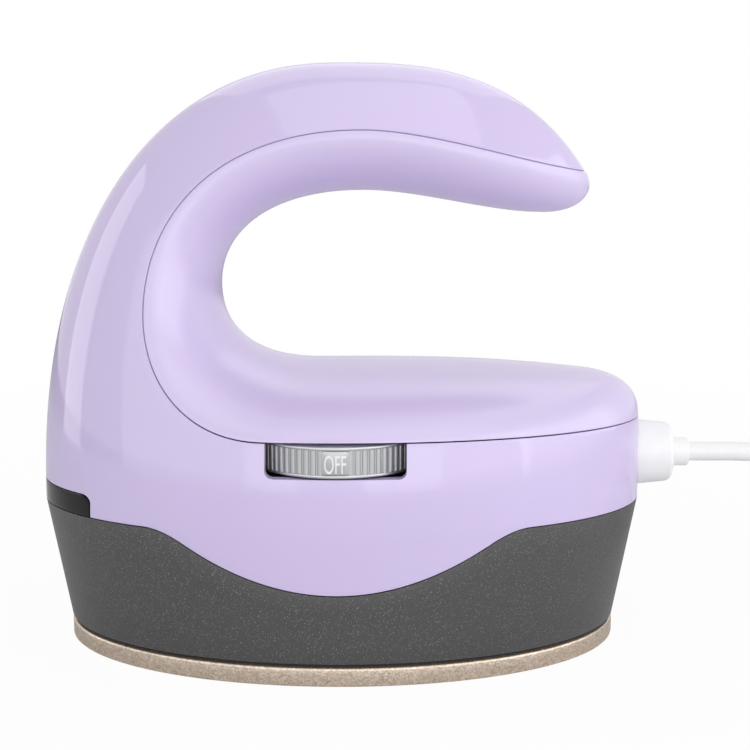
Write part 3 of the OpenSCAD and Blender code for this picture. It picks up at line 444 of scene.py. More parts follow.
def inner_section(shape, r, edge_round):
    """Closed section of the inner shell's near half at row r."""
    shares = [k / COLUMNS for k in range(COLUMNS + 1)]
    skin = [shape.inner_at(r, f) for f in shares]
    normals = [shape.inner_normal(r, f) for f in shares]
    wall = shape.inner_wall(r)
    inside = [p - wall * n for p, n in zip(skin, normals)]
    lip = rounded_edge(skin[0], skin[1], normals[0], edge_round)
    return lip + skin[1:] + inside[::-1]


def shell_mesh(sections, open_rows, rim):
    """Both halves of a shell from the near half's sections, merged along the middle plane.
    The rim faces that start at column rim are left out in the first open_rows rows."""
    bm = bmesh.new()
    for side in (1, -1):
        grid = [[bm.verts.new((p.x, side * p.y, p.z)) for p in section] for section in sections]
        for i, (a, b) in enumerate(zip(grid, grid[1:])):
            band(bm, a, b, gap=rim if i < open_rows else None)
    close_up(bm)
    return bm


def cutter(rings):
    """A solid that a shell is cut with, from rings of points in millimetres."""
    bm = bmesh.new()
    loft(bm, rings)
    bmesh.ops.recalc_face_normals(bm, faces=bm.faces)
    bmesh.ops.scale(bm, vec=(MM, MM, MM), verts=bm.verts)
    mesh = bpy.data.meshes.new("cutter")
    bm.to_mesh(mesh)
    bm.free()
    tool = bpy.data.objects.new("cutter", mesh)
    bpy.context.scene.collection.objects.link(tool)
    return tool


def cut(piece, tools):
    """Cuts a piece with each tool and removes the tools."""
    for tool in tools:
        modifier = piece.modifiers.new("cut", "BOOLEAN")
        modifier.operation = "DIFFERENCE"
        modifier.solver = "EXACT"
        modifier.object = tool
    settle(piece)
    for tool in tools:
        bpy.data.objects.remove(tool)


def arc(centre, radius, first, last, steps):
    """Points of an arc in a plane, between two angles in degrees."""
    turns = [math.radians(mix(first, last, k / steps)) for k in range(steps + 1)]
    return [(centre[0] + radius * math.cos(t), centre[1] + radius * math.sin(t)) for t in turns]


# ---------------------------------------------------------------- finishes
def add(tree, kind, inputs=None, **settings):
    """Adds a node: settings are its properties, inputs its values or the sockets linked to it."""
    node = tree.nodes.new(kind)
    for key, value in settings.items():
        setattr(node, key, value)
    for key, value in (inputs or {}).items():
        if isinstance(value, bpy.types.NodeSocket):
            tree.links.new(value, node.inputs[key])
        else:
            node.inputs[key].default_value = value
    return node


def begin(name, colour, roughness, metallic=0.0, **sockets):
    """A new material with a plain Principled surface, its tree, shader and object coordinates."""
    material = bpy.data.materials.new(name)
    material.use_nodes = True
    tree = material.node_tree
    tree.nodes.clear()
    place = add(tree, "ShaderNodeTexCoord")
    values = {"Base Color": (*colour, 1), "Roughness": roughness, "Metallic": metallic}
    values.update(sockets)
    shader = add(tree, "ShaderNodeBsdfPrincipled", values)
    add(tree, "ShaderNodeOutputMaterial", {"Surface": shader.outputs["BSDF"]})
    material.diffuse_color = (*colour, 1)
    return material, tree, shader, place.outputs["Object"]


def vary(tree, shader, where, colour, other, grain, roughness, bump=0.0):
    """Mottles a surface: colour to another, a range of roughness, and relief, at a grain in mm."""
    noise = add(tree, "ShaderNodeTexNoise",
                {"Vector": where, "Scale": 1 / (grain * MM), "Detail": 2.0})
    value = noise.outputs["Fac"]
    blend = add(tree, "ShaderNodeMix", {"Factor": value, 6: (*colour, 1), 7: (*other, 1)},
                data_type="RGBA")
    tree.links.new(blend.outputs[2], shader.inputs["Base Color"])
    spread = add(tree, "ShaderNodeMapRange",
                 {"Value": value, "To Min": roughness[0], "To Max": roughness[1]})
    tree.links.new(spread.outputs["Result"], shader.inputs["Roughness"])
    if bump:
        relief = add(tree, "ShaderNodeBump", {"Height": value, "Strength": 1.0,
                                              "Distance": bump * MM})
        tree.links.new(relief.outputs["Normal"], shader.inputs["Normal"])


def gloss_abs(name, colour, roughness):
    """High-gloss moulded ABS: a clean saturated pastel with a soft waviness in its reflections."""
    deep = [c * 0.97 for c in colour]
    material, tree, shader, where = begin(name, colour, roughness, IOR=1.53)
    # sink waves of a moulding, about 14 mm long and a few microns deep
    vary(tree, shader, where, colour, deep, 14, (roughness * 0.8, roughness * 1.2), bump=0.004)
    return material


def flake_skirt(colour, flake):
    """Charcoal polycarbonate with aluminium flake: matt, with points that flash near the light."""
    material, tree, shader, where = begin(
        "charcoal_flake_polycarbonate", colour, 0.42, IOR=1.58)
    # flakes in cells of 0.13 mm; about one in ten lies near enough the surface to show
    cells = add(tree, "ShaderNodeTexVoronoi", {"Vector": where, "Scale": 1 / (0.13 * MM)})
    lot = add(tree, "ShaderNodeSeparateColor", {"Color": cells.outputs["Color"]})
    shows = add(tree, "ShaderNodeMapRange", {"Value": lot.outputs["Red"], "From Min": 0.87,
                                             "From Max": 0.93})
    core = add(tree, "ShaderNodeMapRange", {"Value": cells.outputs["Distance"], "From Min": 0.45,
                                            "From Max": 0.25})
    mask = add(tree, "ShaderNodeMath", {0: shows.outputs["Result"], 1: core.outputs["Result"]},
               operation="MULTIPLY")
    # clouding of the resin at 0.5 mm
    cloud = add(tree, "ShaderNodeTexNoise",
                {"Vector": where, "Scale": 1 / (0.5 * MM), "Detail": 2.0})
    ground = add(tree, "ShaderNodeMix", {"Factor": cloud.outputs["Fac"],
                                         6: (*[c * 0.86 for c in colour], 1),
                                         7: (*[c * 1.14 for c in colour], 1)}, data_type="RGBA")
    paint = add(tree, "ShaderNodeMix", {"Factor": mask.outputs[0], 6: ground.outputs[2],
                                        7: (*flake, 1)}, data_type="RGBA")
    tree.links.new(paint.outputs[2], shader.inputs["Base Color"])
    tree.links.new(mask.outputs[0], shader.inputs["Metallic"])
    # each flake tilts its own way
    tilt = add(tree, "ShaderNodeVectorMath", {0: cells.outputs["Color"], 1: (0.5, 0.5, 0.5)},
               operation="SUBTRACT")
    amount = add(tree, "ShaderNodeMath", {0: mask.outputs[0], 1: 0.7}, operation="MULTIPLY")
    lean = add(tree, "ShaderNodeVectorMath", {0: tilt.outputs[0], "Scale": amount.outputs[0]},
               operation="SCALE")
    facing = add(tree, "ShaderNodeNewGeometry")
    turned = add(tree, "ShaderNodeVectorMath", {0: facing.outputs["Normal"], 1: lean.outputs[0]},
                 operation="ADD")
    normal = add(tree, "ShaderNodeVectorMath", {0: turned.outputs[0]}, operation="NORMALIZE")
    tree.links.new(normal.outputs[0], shader.inputs["Normal"])
    return material


def champagne_coat(colour, glint):
    """Champagne non-stick coat on aluminium: a sandy grain of fine metallic points."""
    material, tree, shader, where = begin("champagne_nonstick_coat", colour, 0.34, 0.8)
    # grit of about 0.3 mm
    grit = add(tree, "ShaderNodeTexVoronoi", {"Vector": where, "Scale": 1 / (0.3 * MM)})
    lot = add(tree, "ShaderNodeSeparateColor", {"Color": grit.outputs["Color"]})
    noise = add(tree, "ShaderNodeTexNoise",
                {"Vector": where, "Scale": 1 / (0.25 * MM), "Detail": 3.0})
    level = add(tree, "ShaderNodeMath", {0: lot.outputs["Red"], 1: noise.outputs["Fac"]},
                operation="MULTIPLY")
    spread = add(tree, "ShaderNodeMapRange", {"Value": level.outputs[0], "From Max": 0.6})
    paint = add(tree, "ShaderNodeMix", {"Factor": spread.outputs["Result"], 6: (*colour, 1),
                                        7: (*glint, 1)}, data_type="RGBA")
    tree.links.new(paint.outputs[2], shader.inputs["Base Color"])
    relief = add(tree, "ShaderNodeBump", {"Height": level.outputs[0], "Distance": 0.03 * MM})
    tree.links.new(relief.outputs["Normal"], shader.inputs["Normal"])
    return material


def plain_finish(name, code, other, roughness, grain, bump, metallic=0.0, **sockets):
    """A finish of two near colours mottled at its own grain, in mm."""
    colour, second = linear(code), linear(other)
    material, tree, shader, where = begin(name, colour, roughness, metallic, **sockets)
    spread = (roughness * 0.85, min(1, roughness * 1.15))
    vary(tree, shader, where, colour, second, grain, spread, bump)
    return material


def smoked_window():
    """Smoked polycarbonate: near black and glossy, with faint streaks of the moulding's flow."""
    colour = linear("#121213")
    material, tree, shader, where = begin("smoked_polycarbonate", colour, 0.05,
                                          **{"Specular IOR Level": 0.25})
    stretch = add(tree, "ShaderNodeMapping", {"Vector": where, "Scale": (1, 1, 6)})
    vary(tree, shader, stretch.outputs["Vector"], colour, linear("#0c0c0d"), 5, (0.04, 0.07))
    return material


def make_finishes(colours):
    """All finishes, by name. Hidden pieces have the common finish of such a piece."""
    return {
        "shell": gloss_abs("lilac_gloss_abs", list(colours.shell), 0.07),
        "grip": gloss_abs("pale_lilac_satin_abs", list(colours.grip), 0.24),
        "skirt": flake_skirt(list(colours.skirt), linear("#a9aaac")),
        "plate": champagne_coat(list(colours.plate), linear("#dccfc1")),
        "window": smoked_window(),
        # silicone rubber, black and dull, with the faint bloom of a moulded seal
        "seal": plain_finish("black_silicone", "#17171a", "#1f1f22", 0.7, 0.8, 0.01),
        # vacuum-painted ABS: silver with a fine metallic grain of 0.15 mm
        "dial": plain_finish("silver_painted_abs", "#c6c8c8", "#b3b5b6", 0.3, 0.15, 0.004, 0.75),
        "label": plain_finish("satin_silver_paint", "#b7b9b9", "#adafb0", 0.42, 0.15, 0.004, 0.55),
        "mark": plain_finish("pad_printed_white", "#eceeed", "#e2e4e3", 0.5, 0.4, 0.0),
        # soft PVC and its collar: white, satin, with a drawn waviness of 3 mm
        "cord": plain_finish("white_soft_pvc", "#efeff0", "#e8e8ea", 0.38, 3.0, 0.02),
        # glass-filled nylon: black, matt, with 0.6 mm swirls of glass at the skin
        "nylon": plain_finish("black_glass_nylon", "#1b1b1e", "#26262a", 0.55, 0.6, 0.012),
        "case": plain_finish("blue_pbt_case", "#27406b", "#2d4876", 0.5, 0.9, 0.008),
        "steel": plain_finish("zinc_plated_steel", "#b9bcc0", "#a5a8ad", 0.34, 0.5, 0.006, 1.0),
        "brass": plain_finish("nickel_plated_brass", "#cfcac0", "#beb9af", 0.26, 0.7, 0.004, 1.0),
        "ceramic": plain_finish("steatite_ceramic", "#e9e6dd", "#dedad0", 0.6, 0.7, 0.01),
        "felt": plain_finish("needled_felt", "#cfc9bb", "#b9b2a2", 0.95, 0.5, 0.12),
        "board": plain_finish("green_solder_mask", "#1f5c3a", "#256744", 0.35, 1.2, 0.008),
        "lamp": plain_finish("clear_led_epoxy", "#eef0dc", "#e2e5cd", 0.15, 1.5, 0.0),
        "sleeve": plain_finish("shrink_sleeve_pvc", "#232329", "#2c2c34", 0.3, 1.0, 0.004),
        "terminal": plain_finish("green_polyamide", "#2f7d4a", "#367f50", 0.5, 0.8, 0.01),
        "blue_wire": plain_finish("blue_pvc_insulation", "#3a6fb0", "#4277b6", 0.4, 0.8, 0.01),
        "red_wire": plain_finish("red_glass_sleeving", "#b4483a", "#c65a49", 0.8, 0.35, 0.03),
    }


FINISHES = {}

# frame nodes that keep their own shape, and their finishes
KEPT_NODES = {
    "seal": ["plate_seal"],
    "steel": ["dial_shaft", "heating_element", "element_pins", "fuse_clip", "thermistor",
              "heat_shield", "plate_screws", "deck_screws", "housing_screws", "board_screws",
              "clamp_screws"],
    "nylon": ["dial_housing", "base_frame", "deck_posts", "cord_saddle", "cord_clamp",
              "controller_chip"],
    "case": ["rotary_switch", "power_relay"],
    "ceramic": ["terminal_beads", "thermal_fuse"],
    "felt": ["felt_pad"],
    "board": ["control_board", "indicator_board"],
    "lamp": ["indicator_leds"],
    "sleeve": ["smoothing_capacitor"],
    "terminal": ["terminal_block"],
    "cord": ["cord_inner"],
    "blue_wire": ["mains_wires"],
    "red_wire": ["element_wires"],
    "brass": ["plug_blades"],
}


# ---------------------------------------------------------------- sizes a user may change
class PressSizes(bpy.types.PropertyGroup):
    """Sizes of the visible pieces."""
    edge_round: FloatProperty(
        name="Edge round", description="Radius of the moulded edges along the seams",
        default=0.08 * MM, min=0.02 * MM, max=0.5 * MM, unit="LENGTH")
    skirt_round: FloatProperty(
        name="Skirt round", description="Radius of the skirt's lower edge",
        default=0.3 * MM, min=0.05 * MM, max=0.8 * MM, unit="LENGTH")
    plate_round: FloatProperty(
        name="Plate round", description="Radius of the heat plate's edges",
        default=0.4 * MM, min=0.1 * MM, max=1 * MM, unit="LENGTH")
    rib_count: IntProperty(
        name="Dial ribs", description="Number of ribs round the dial", default=72, min=40, max=96)
    rib_width: FloatProperty(
        name="Rib width", description="Half width of a rib of the dial",
        default=0.48 * MM, min=0.2 * MM, max=0.55 * MM, unit="LENGTH")
    rib_height: FloatProperty(
        name="Rib height", description="How far a rib stands out of the dial's band",
        default=0.3 * MM, min=0.1 * MM, max=0.35 * MM, unit="LENGTH")
    mark: StringProperty(
        name="Mark", description="Word on the dial's label", default="OFF")
    mark_height: FloatProperty(
        name="Mark height", description="Height of the letters on the dial's label",
        default=2.95 * MM, min=1 * MM, max=3.5 * MM, unit="LENGTH")


class PressColours(bpy.types.PropertyGroup):
    """Main colours of the press, linear."""
    shell: FloatVectorProperty(
        name="Shell", description="Lilac of the outer shell", subtype="COLOR", size=3,
        default=linear("#cdbfe4"), min=0, max=1)
    grip: FloatVectorProperty(
        name="Grip", description="Lilac of the inner shell round the hand gap", subtype="COLOR",
        size=3, default=linear("#d1c4e6"), min=0, max=1)
    skirt: FloatVectorProperty(
        name="Skirt", description="Charcoal of the skirt", subtype="COLOR", size=3,
        default=linear("#404040"), min=0, max=1)
    plate: FloatVectorProperty(
        name="Plate", description="Champagne of the heat plate", subtype="COLOR", size=3,
        default=linear("#b4a28f"), min=0, max=1)


# ---------------------------------------------------------------- pieces
class PRESS_OT_finishes(bpy.types.Operator):
    """Make every finish and give the kept frame nodes theirs"""
    bl_idname = "press.finishes"
    bl_label = "Finishes"

    def execute(self, context):
        FINISHES.update(make_finishes(context.scene.press_colours))
        for finish, nodes in KEPT_NODES.items():
            for name in nodes:
                mesh = frame["nodes"][name].data
                mesh.materials.clear()
                mesh.materials.append(FINISHES[finish])
        return {"FINISHED"}


class PRESS_OT_stage(bpy.types.Operator):
    """Set up the camera, the pale floor and the soft studio light"""
    bl_idname = "press.stage"
    bl_label = "Stage"

    def execute(self, context):
        make_camera(context.scene)
        make_floor()
        make_world(context.scene)
        make_lamps()
        context.scene.view_settings.view_transform = "Standard"
        return {"FINISHED"}


# the photograph's camera: its image width and focal length in pixels, its place in mm, and how
# far it looks down and turns to the left, in degrees
IMAGE_WIDTH = 750
FOCAL_LENGTH = 1270
CAMERA_PLACE = (7.676, -229.95, 79.5)
CAMERA_DOWN = 8.02
CAMERA_TURN = 0.4


def make_camera(scene):
    """Camera of the photograph: 230 mm in front, 8 degrees above the level line."""
    camera = bpy.data.objects.new("camera", bpy.data.cameras.new("camera"))
    camera.data.sensor_width = 36
    camera.data.lens = 36 * FOCAL_LENGTH / IMAGE_WIDTH
    camera.data.clip_start = 0.01
    camera.location = Vector(CAMERA_PLACE) * MM
    camera.rotation_euler = (math.radians(90 - CAMERA_DOWN), 0, math.radians(CAMERA_TURN))
    scene.collection.objects.link(camera)
    scene.camera = camera


FLOOR_HALF = 2.5      # half the floor's side, in metres
FLOOR_DROP = 0.05     # how far the floor lies under the plate, in mm, so that the two don't flicker


def make_floor():
    """Pale floor that keeps a faint shadow near the press and turns white further out."""
    bm = bmesh.new()
    bmesh.ops.create_grid(bm, x_segments=1, y_segments=1, size=FLOOR_HALF)
    mesh = bpy.data.meshes.new("floor")
    bm.to_mesh(mesh)
    bm.free()
    floor = bpy.data.objects.new("floor", mesh)
    floor.location.z = -FLOOR_DROP * MM
    bpy.context.scene.collection.objects.link(floor)
    material = bpy.data.materials.new("pale_floor")
    material.use_nodes = True
    tree = material.node_tree
    tree.nodes.clear()
    place = add(tree, "ShaderNodeTexCoord")
    far = add(tree, "ShaderNodeVectorMath", {0: place.outputs["Object"]}, operation="LENGTH")
    fade = add(tree, "ShaderNodeMapRange", {"Value": far.outputs["Value"], "From Min": 0.1,
                                            "From Max": 0.4, "To Min": 0.95, "To Max": 1.0})
    ray = add(tree, "ShaderNodeLightPath")
    seen = add(tree, "ShaderNodeMath", {0: ray.outputs["Is Camera Ray"], 1: fade.outputs["Result"]},
               operation="MULTIPLY")
    matt = add(tree, "ShaderNodeBsdfDiffuse", {"Color": (0.85, 0.85, 0.86, 1)})
    white = add(tree, "ShaderNodeEmission", {"Color": (1, 1, 1, 1), "Strength": 1.0})
    both = add(tree, "ShaderNodeMixShader", {0: seen.outputs[0], 1: matt.outputs[0],
                                             2: white.outputs[0]})
    add(tree, "ShaderNodeOutputMaterial", {"Surface": both.outputs[0]})
    mesh.materials.append(material)


def make_world(scene):
    """White backdrop for what is seen, reflected or shone through, and a dim even light."""
    world = bpy.data.worlds.new("studio")
    scene.world = world
    world.use_nodes = True
    tree = world.node_tree
    tree.nodes.clear()
    ray = add(tree, "ShaderNodeLightPath")
    seen = add(tree, "ShaderNodeMath", {0: ray.outputs["Is Camera Ray"],
                                        1: ray.outputs["Is Glossy Ray"]}, operation="MAXIMUM")
    also = add(tree, "ShaderNodeMath", {0: seen.outputs[0],
                                        1: ray.outputs["Is Transmission Ray"]}, operation="MAXIMUM")
    level = add(tree, "ShaderNodeMapRange",
                {"Value": also.outputs[0], "To Min": 0.3, "To Max": 1.0})
    light = add(tree, "ShaderNodeBackground", {"Color": (1, 1, 1, 1),
                                               "Strength": level.outputs["Result"]})
    add(tree, "ShaderNodeOutputWorld", {"Surface": light.outputs[0]})


# name, place, width and height in metres, power in watts; each about as bright as the backdrop,
# so that it lights the press without showing as a panel in its gloss
LAMPS = [
    ("key_right", (0.55, -0.14, 0.20), (0.60, 0.60), 1.70),
    ("key_front", (0.30, -0.55, 0.22), (0.60, 0.50), 1.10),
    ("top_front", (0.05, -0.20, 0.60), (0.45, 0.45), 0.58),
    ("top_back", (0.00, 0.30, 0.55), (0.60, 0.50), 0.75),
    ("fill_left", (-0.40, -0.50, 0.20), (0.70, 0.60), 1.15),
    ("fill_low", (0.00, -0.75, 0.05), (0.70, 0.50), 1.15),
    ("strip", (-0.51, 0.08, 0.16), (0.16, 0.50), 0.38),
]
LAMP_TARGET = (0, 0, 0.05)        # the middle of the press


def make_lamps():
    """Soft lamps from the right, above and the left, and a tall strip for the nose."""
    for name, where, size, power in LAMPS:
        data = bpy.data.lights.new(name, "AREA")
        data.shape = "RECTANGLE"
        data.size, data.size_y = size
        data.energy = power
        holder = bpy.data.objects.new(name, data)
        holder.location = where
        way = Vector(LAMP_TARGET) - Vector(where)
        holder.rotation_euler = way.to_track_quat("-Z", "Y").to_euler()
        bpy.context.scene.collection.objects.link(holder)


class PRESS_OT_shells(bpy.types.Operator):
    """Build the outer and the inner shell as thin mouldings with rounded seam edges"""
    bl_idname = "press.shells"
    bl_label = "Shells"

    def execute(self, context):
        shape = Outline()
        edge = context.scene.press_sizes.edge_round / MM
        rows = [k / FINE for k in range(shape.last * FINE + 1)]
        sections = [outer_section(shape, r, edge) for r in rows]
        # the last point of the skin: a round, the columns between, and the second round
        rim = (ROUND_STEPS + 1) + (COLUMNS - 1) + (ROUND_STEPS + 1) - 1
        bm = shell_mesh(sections, shape.nose * FINE, rim)
        outer = new_piece("outer_shell_moulding", bm, FINISHES["shell"], body=None)
        cut(outer, [slot_tool(), window_tool(shape), collar_tool()])
        soften(outer)
        declare(outer, "root", ["outer_shell"])
        sections = [inner_section(shape, r, edge) for r in rows]
        rim = (ROUND_STEPS + 1) + COLUMNS - 1
        bm = shell_mesh(sections, shape.last * FINE, rim)
        new_piece("inner_shell_moulding", bm, FINISHES["grip"],
                  nodes=["inner_shell"])
        return {"FINISHED"}


# the dial's slot, and how far its cutter runs from outside the skin to behind the wall
SLOT_W = 22.7
SLOT_FLOOR = 34.8
SLOT_CORNER = 1.2
SLOT_CUT = (-45, -24)
# the smoked window: half width, top, corner and wall, and its notch's cutter
WINDOW_Y = 20.9
WINDOW_TOP = 29.3
WINDOW_CORNER = 1.4
WINDOW_T = 1.7
WINDOW_CUT = (-60, -36)
WINDOW_BELOW = 22.6   # a height under the shell's lower edge, where the notch is open
# the collar's hole
HOLE_R = 6.0
HOLE_CUT = (49, 62)
HOLE_SIDES = 72


def slot_tool():
    """Cutter for the dial's slot, open to the seam above."""
    r, w = SLOT_CORNER, SLOT_W / 2
    top = Outline.deck_seam[1] + 1
    outline = ([(-w, top)] + arc((r - w, SLOT_FLOOR + r), r, 180, 270, 6)
               + arc((w - r, SLOT_FLOOR + r), r, 270, 360, 6) + [(w, top)])
    return cutter([[Vector((x, y, z)) for x, z in outline] for y in SLOT_CUT])


def window_tool(shape):
    """Cutter for the window's notch, open to the skirt below."""
    y, z, r = WINDOW_Y + shape.seam_gap, WINDOW_TOP + shape.seam_gap, WINDOW_CORNER
    outline = ([(-y, WINDOW_BELOW)] + arc((r - y, z - r), r, 180, 90, 8)
               + arc((y - r, z - r), r, 90, 0, 8) + [(y, WINDOW_BELOW)])
    return cutter([[Vector((x, a, b)) for a, b in outline] for x in WINDOW_CUT])


def collar_tool():
    """Cutter for the collar's hole in the tail."""
    lo, hi = box_mm("cord_inner")
    z = (lo.z + hi.z) / 2
    outline = arc((0, z), HOLE_R, 0, 360 - 360 // HOLE_SIDES, HOLE_SIDES - 1)
    return cutter([[Vector((x, a, b)) for a, b in outline] for x in HOLE_CUT])


SKIRT_STEPS = 540     # points round the skirt
FLANGE_T = 1.8        # the skirt's inner flange: its height and how far it stands in
FLANGE_W = 4.0


class PRESS_OT_skirt(bpy.types.Operator):
    """Build the flaked skirt with its wave and inner flange"""
    bl_idname = "press.skirt"
    bl_label = "Skirt"

    def execute(self, context):
        shape = Outline()
        sizes = context.scene.press_sizes
        lower, upper = sizes.skirt_round / MM, sizes.edge_round / MM
        flange_z = shape.skirt_z + FLANGE_T
        depth = shape.wall + FLANGE_W
        rings = []
        for i in range(SKIRT_STEPS):
            a = 360 * i / SKIRT_STEPS
            top_z = shape.edge_z(a) - shape.seam_gap / 2
            foot, top = shape.plan_at(shape.skirt_z, a), shape.plan_at(top_z, a)
            up = (top - foot).normalized()
            out = shape.skin_normal((foot + top) / 2)
            inward = shape.plan_at(shape.skirt_z, a, 1) - foot
            below = [foot + lower * (inward * (1 - math.sin(t)) + up * (1 - math.cos(t)))
                     for t in (0, math.pi / 6, math.pi / 3, math.pi / 2)]
            above = fillet(top, -up, out, upper)[::-1]
            middle = [mix(foot, top, f) for f in (0.25, 0.5, 0.75)]
            ring = below + middle + above + [
                shape.plan_at(top_z, a, shape.wall), shape.plan_at(flange_z, a, shape.wall),
                shape.plan_at(flange_z, a, depth), shape.plan_at(shape.skirt_z, a, depth)]
            rings.append(ring)
        bm = bmesh.new()
        loft(bm, rings, joined=True)
        close_up(bm)
        new_piece("skirt_moulding", bm, FINISHES["skirt"], nodes=["base_skirt"])
        return {"FINISHED"}


PLATE_TOP = 3.2       # height of the plate's rim
PLATE_EDGE = 1.2      # edges sharper than this are rounded, in radians


class PRESS_OT_plate(bpy.types.Operator):
    """Give the heat plate its rounded, coated edges"""
    bl_idname = "press.plate"
    bl_label = "Plate"

    def execute(self, context):
        width = context.scene.press_sizes.plate_round
        bm = bmesh.new()
        bm.from_mesh(frame["nodes"]["heat_plate"].data)
        bmesh.ops.remove_doubles(bm, verts=bm.verts, dist=0.001 * MM)
        bmesh.ops.dissolve_limit(bm, angle_limit=math.radians(0.5), verts=bm.verts, edges=bm.edges)
        top = PLATE_TOP * MM
        edges = [e for e in bm.edges
                 if len(e.link_faces) == 2 and e.calc_face_angle(0) > PLATE_EDGE
                 and all(v.co.z < top + 0.01 * MM and rim_distance(v.co) < 0.3 * MM
                         for v in e.verts)]
        bmesh.ops.bevel(bm, geom=edges, offset=width, segments=3, affect="EDGES", profile=0.5)
        bmesh.ops.scale(bm, vec=(1 / MM,) * 3, verts=bm.verts)
        new_piece("plate_coated", bm, FINISHES["plate"], nodes=["heat_plate"])
        return {"FINISHED"}


def rim_distance(p):
    """How far a point of the plate lies inside its oval edge, roughly, in metres."""
    lo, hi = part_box("heat_plate")
    share = math.hypot(p.x / hi.x, p.y / hi.y)
    return (1 - share) * hi.y


class PRESS_OT_window(bpy.types.Operator):
    """Build the smoked window round the nose"""
    bl_idname = "press.window"
    bl_label = "Window"

    def execute(self, context):
        shape = Outline()
        edge = context.scene.press_sizes.edge_round / MM
        r = WINDOW_CORNER
        half = [WINDOW_Y - r * (1 - math.cos(math.radians(a))) for a in range(0, 90, 10)]
        half += [(WINDOW_Y - r) * k / 16 for k in range(16, 0, -1)]
        places = [-y for y in half] + [0.0] + half[::-1]
        low = shape.kink_z + shape.seam_gap / 2
        rings = []
        for y in places:
            d = min(r, WINDOW_Y - abs(y))
            high = WINDOW_TOP - r + math.sqrt(max(0, r * r - (r - d) ** 2))
            foot, top = shape.nose_at(y, low), shape.nose_at(y, high)
            n = shape.skin_normal(top)
            up = (top - foot).normalized()
            ring = fillet(foot, up, n, edge) + [mix(foot, top, f) for f in (0.3, 0.5, 0.7)]
            ring += fillet(top, -up, n, edge)[::-1]
            rings.append(ring + [top - n * WINDOW_T, foot - n * WINDOW_T])
        bm = bmesh.new()
        loft(bm, rings)
        close_up(bm)
        new_piece("window_smoked", bm, FINISHES["window"],
                  nodes=["indicator_window"])
        return {"FINISHED"}


def dial_place():
    """Axis of the dial and the wheel's lower and upper face, in millimetres."""
    lo, hi = box_mm("dial_wheel")
    joint = frame["joints"][0]
    axis = Vector(joint["pos_m"]) / MM
    return axis, lo.z, hi.z


# the wheel: radius of the band behind the ribs, and the two rims
DIAL_R = 13.75
RIM_R = 14.1
RIM_T = 0.5
RIM_SOFT = 0.18       # radius of the rims' edges
BAND_T = 2.4          # wall of the band
DISC_T = 2            # the disc between the hub and the band
HUB_R = 5
BORE_R = 3.02         # clear of the shaft, and closed by a cap at the top
CAP_T = 1
RIB_SIDES = 14
# the label and its word
LABEL_W = 4.6
LABEL_CORNER = 0.7
LABEL_SOFT = 0.2      # radius of the label's edge
LABEL_FREE = 0.1      # space between the label and each rib or both rims
LABEL_PROUD = 0.04    # how far the label stands out of the rims
MARK_DROP = 0.2       # the word sits a little below the label's middle
MARK_WIDTH = 3.4
MARK_T = 0.05         # thickness of the print
MARK_BASE = 0.03      # how far the print's back stands out of the rims, just under the label's face


def dial_core(axis, low, high):
    """Turned wheel: two rims, a plain band between them, a hub and the hollow under the rim."""
    soft, inside = RIM_SOFT, DIAL_R - BAND_T
    profile = (
        [(0, high), (RIM_R - soft, high)] + arc((RIM_R - soft, high - soft), soft, 60, 0, 2)
        + arc((RIM_R - soft, high - RIM_T + soft), soft, 0, -60, 2)
        + [(DIAL_R, high - RIM_T), (DIAL_R, low + RIM_T)]
        + arc((RIM_R - soft, low + RIM_T - soft), soft, 60, 0, 2)
        + arc((RIM_R - soft, low + soft), soft, 0, -60, 2) + [(RIM_R - soft, low)]
        + [(inside, low), (inside, high - DISC_T), (HUB_R, high - DISC_T), (HUB_R, low),
           (BORE_R, low), (BORE_R, high - CAP_T), (0, high - CAP_T)])
    bm = bmesh.new()
    revolve(bm, profile, lambda x, y, h: Vector((axis.x + x, axis.y + y, h)), 144)
    close_up(bm)
    return bm


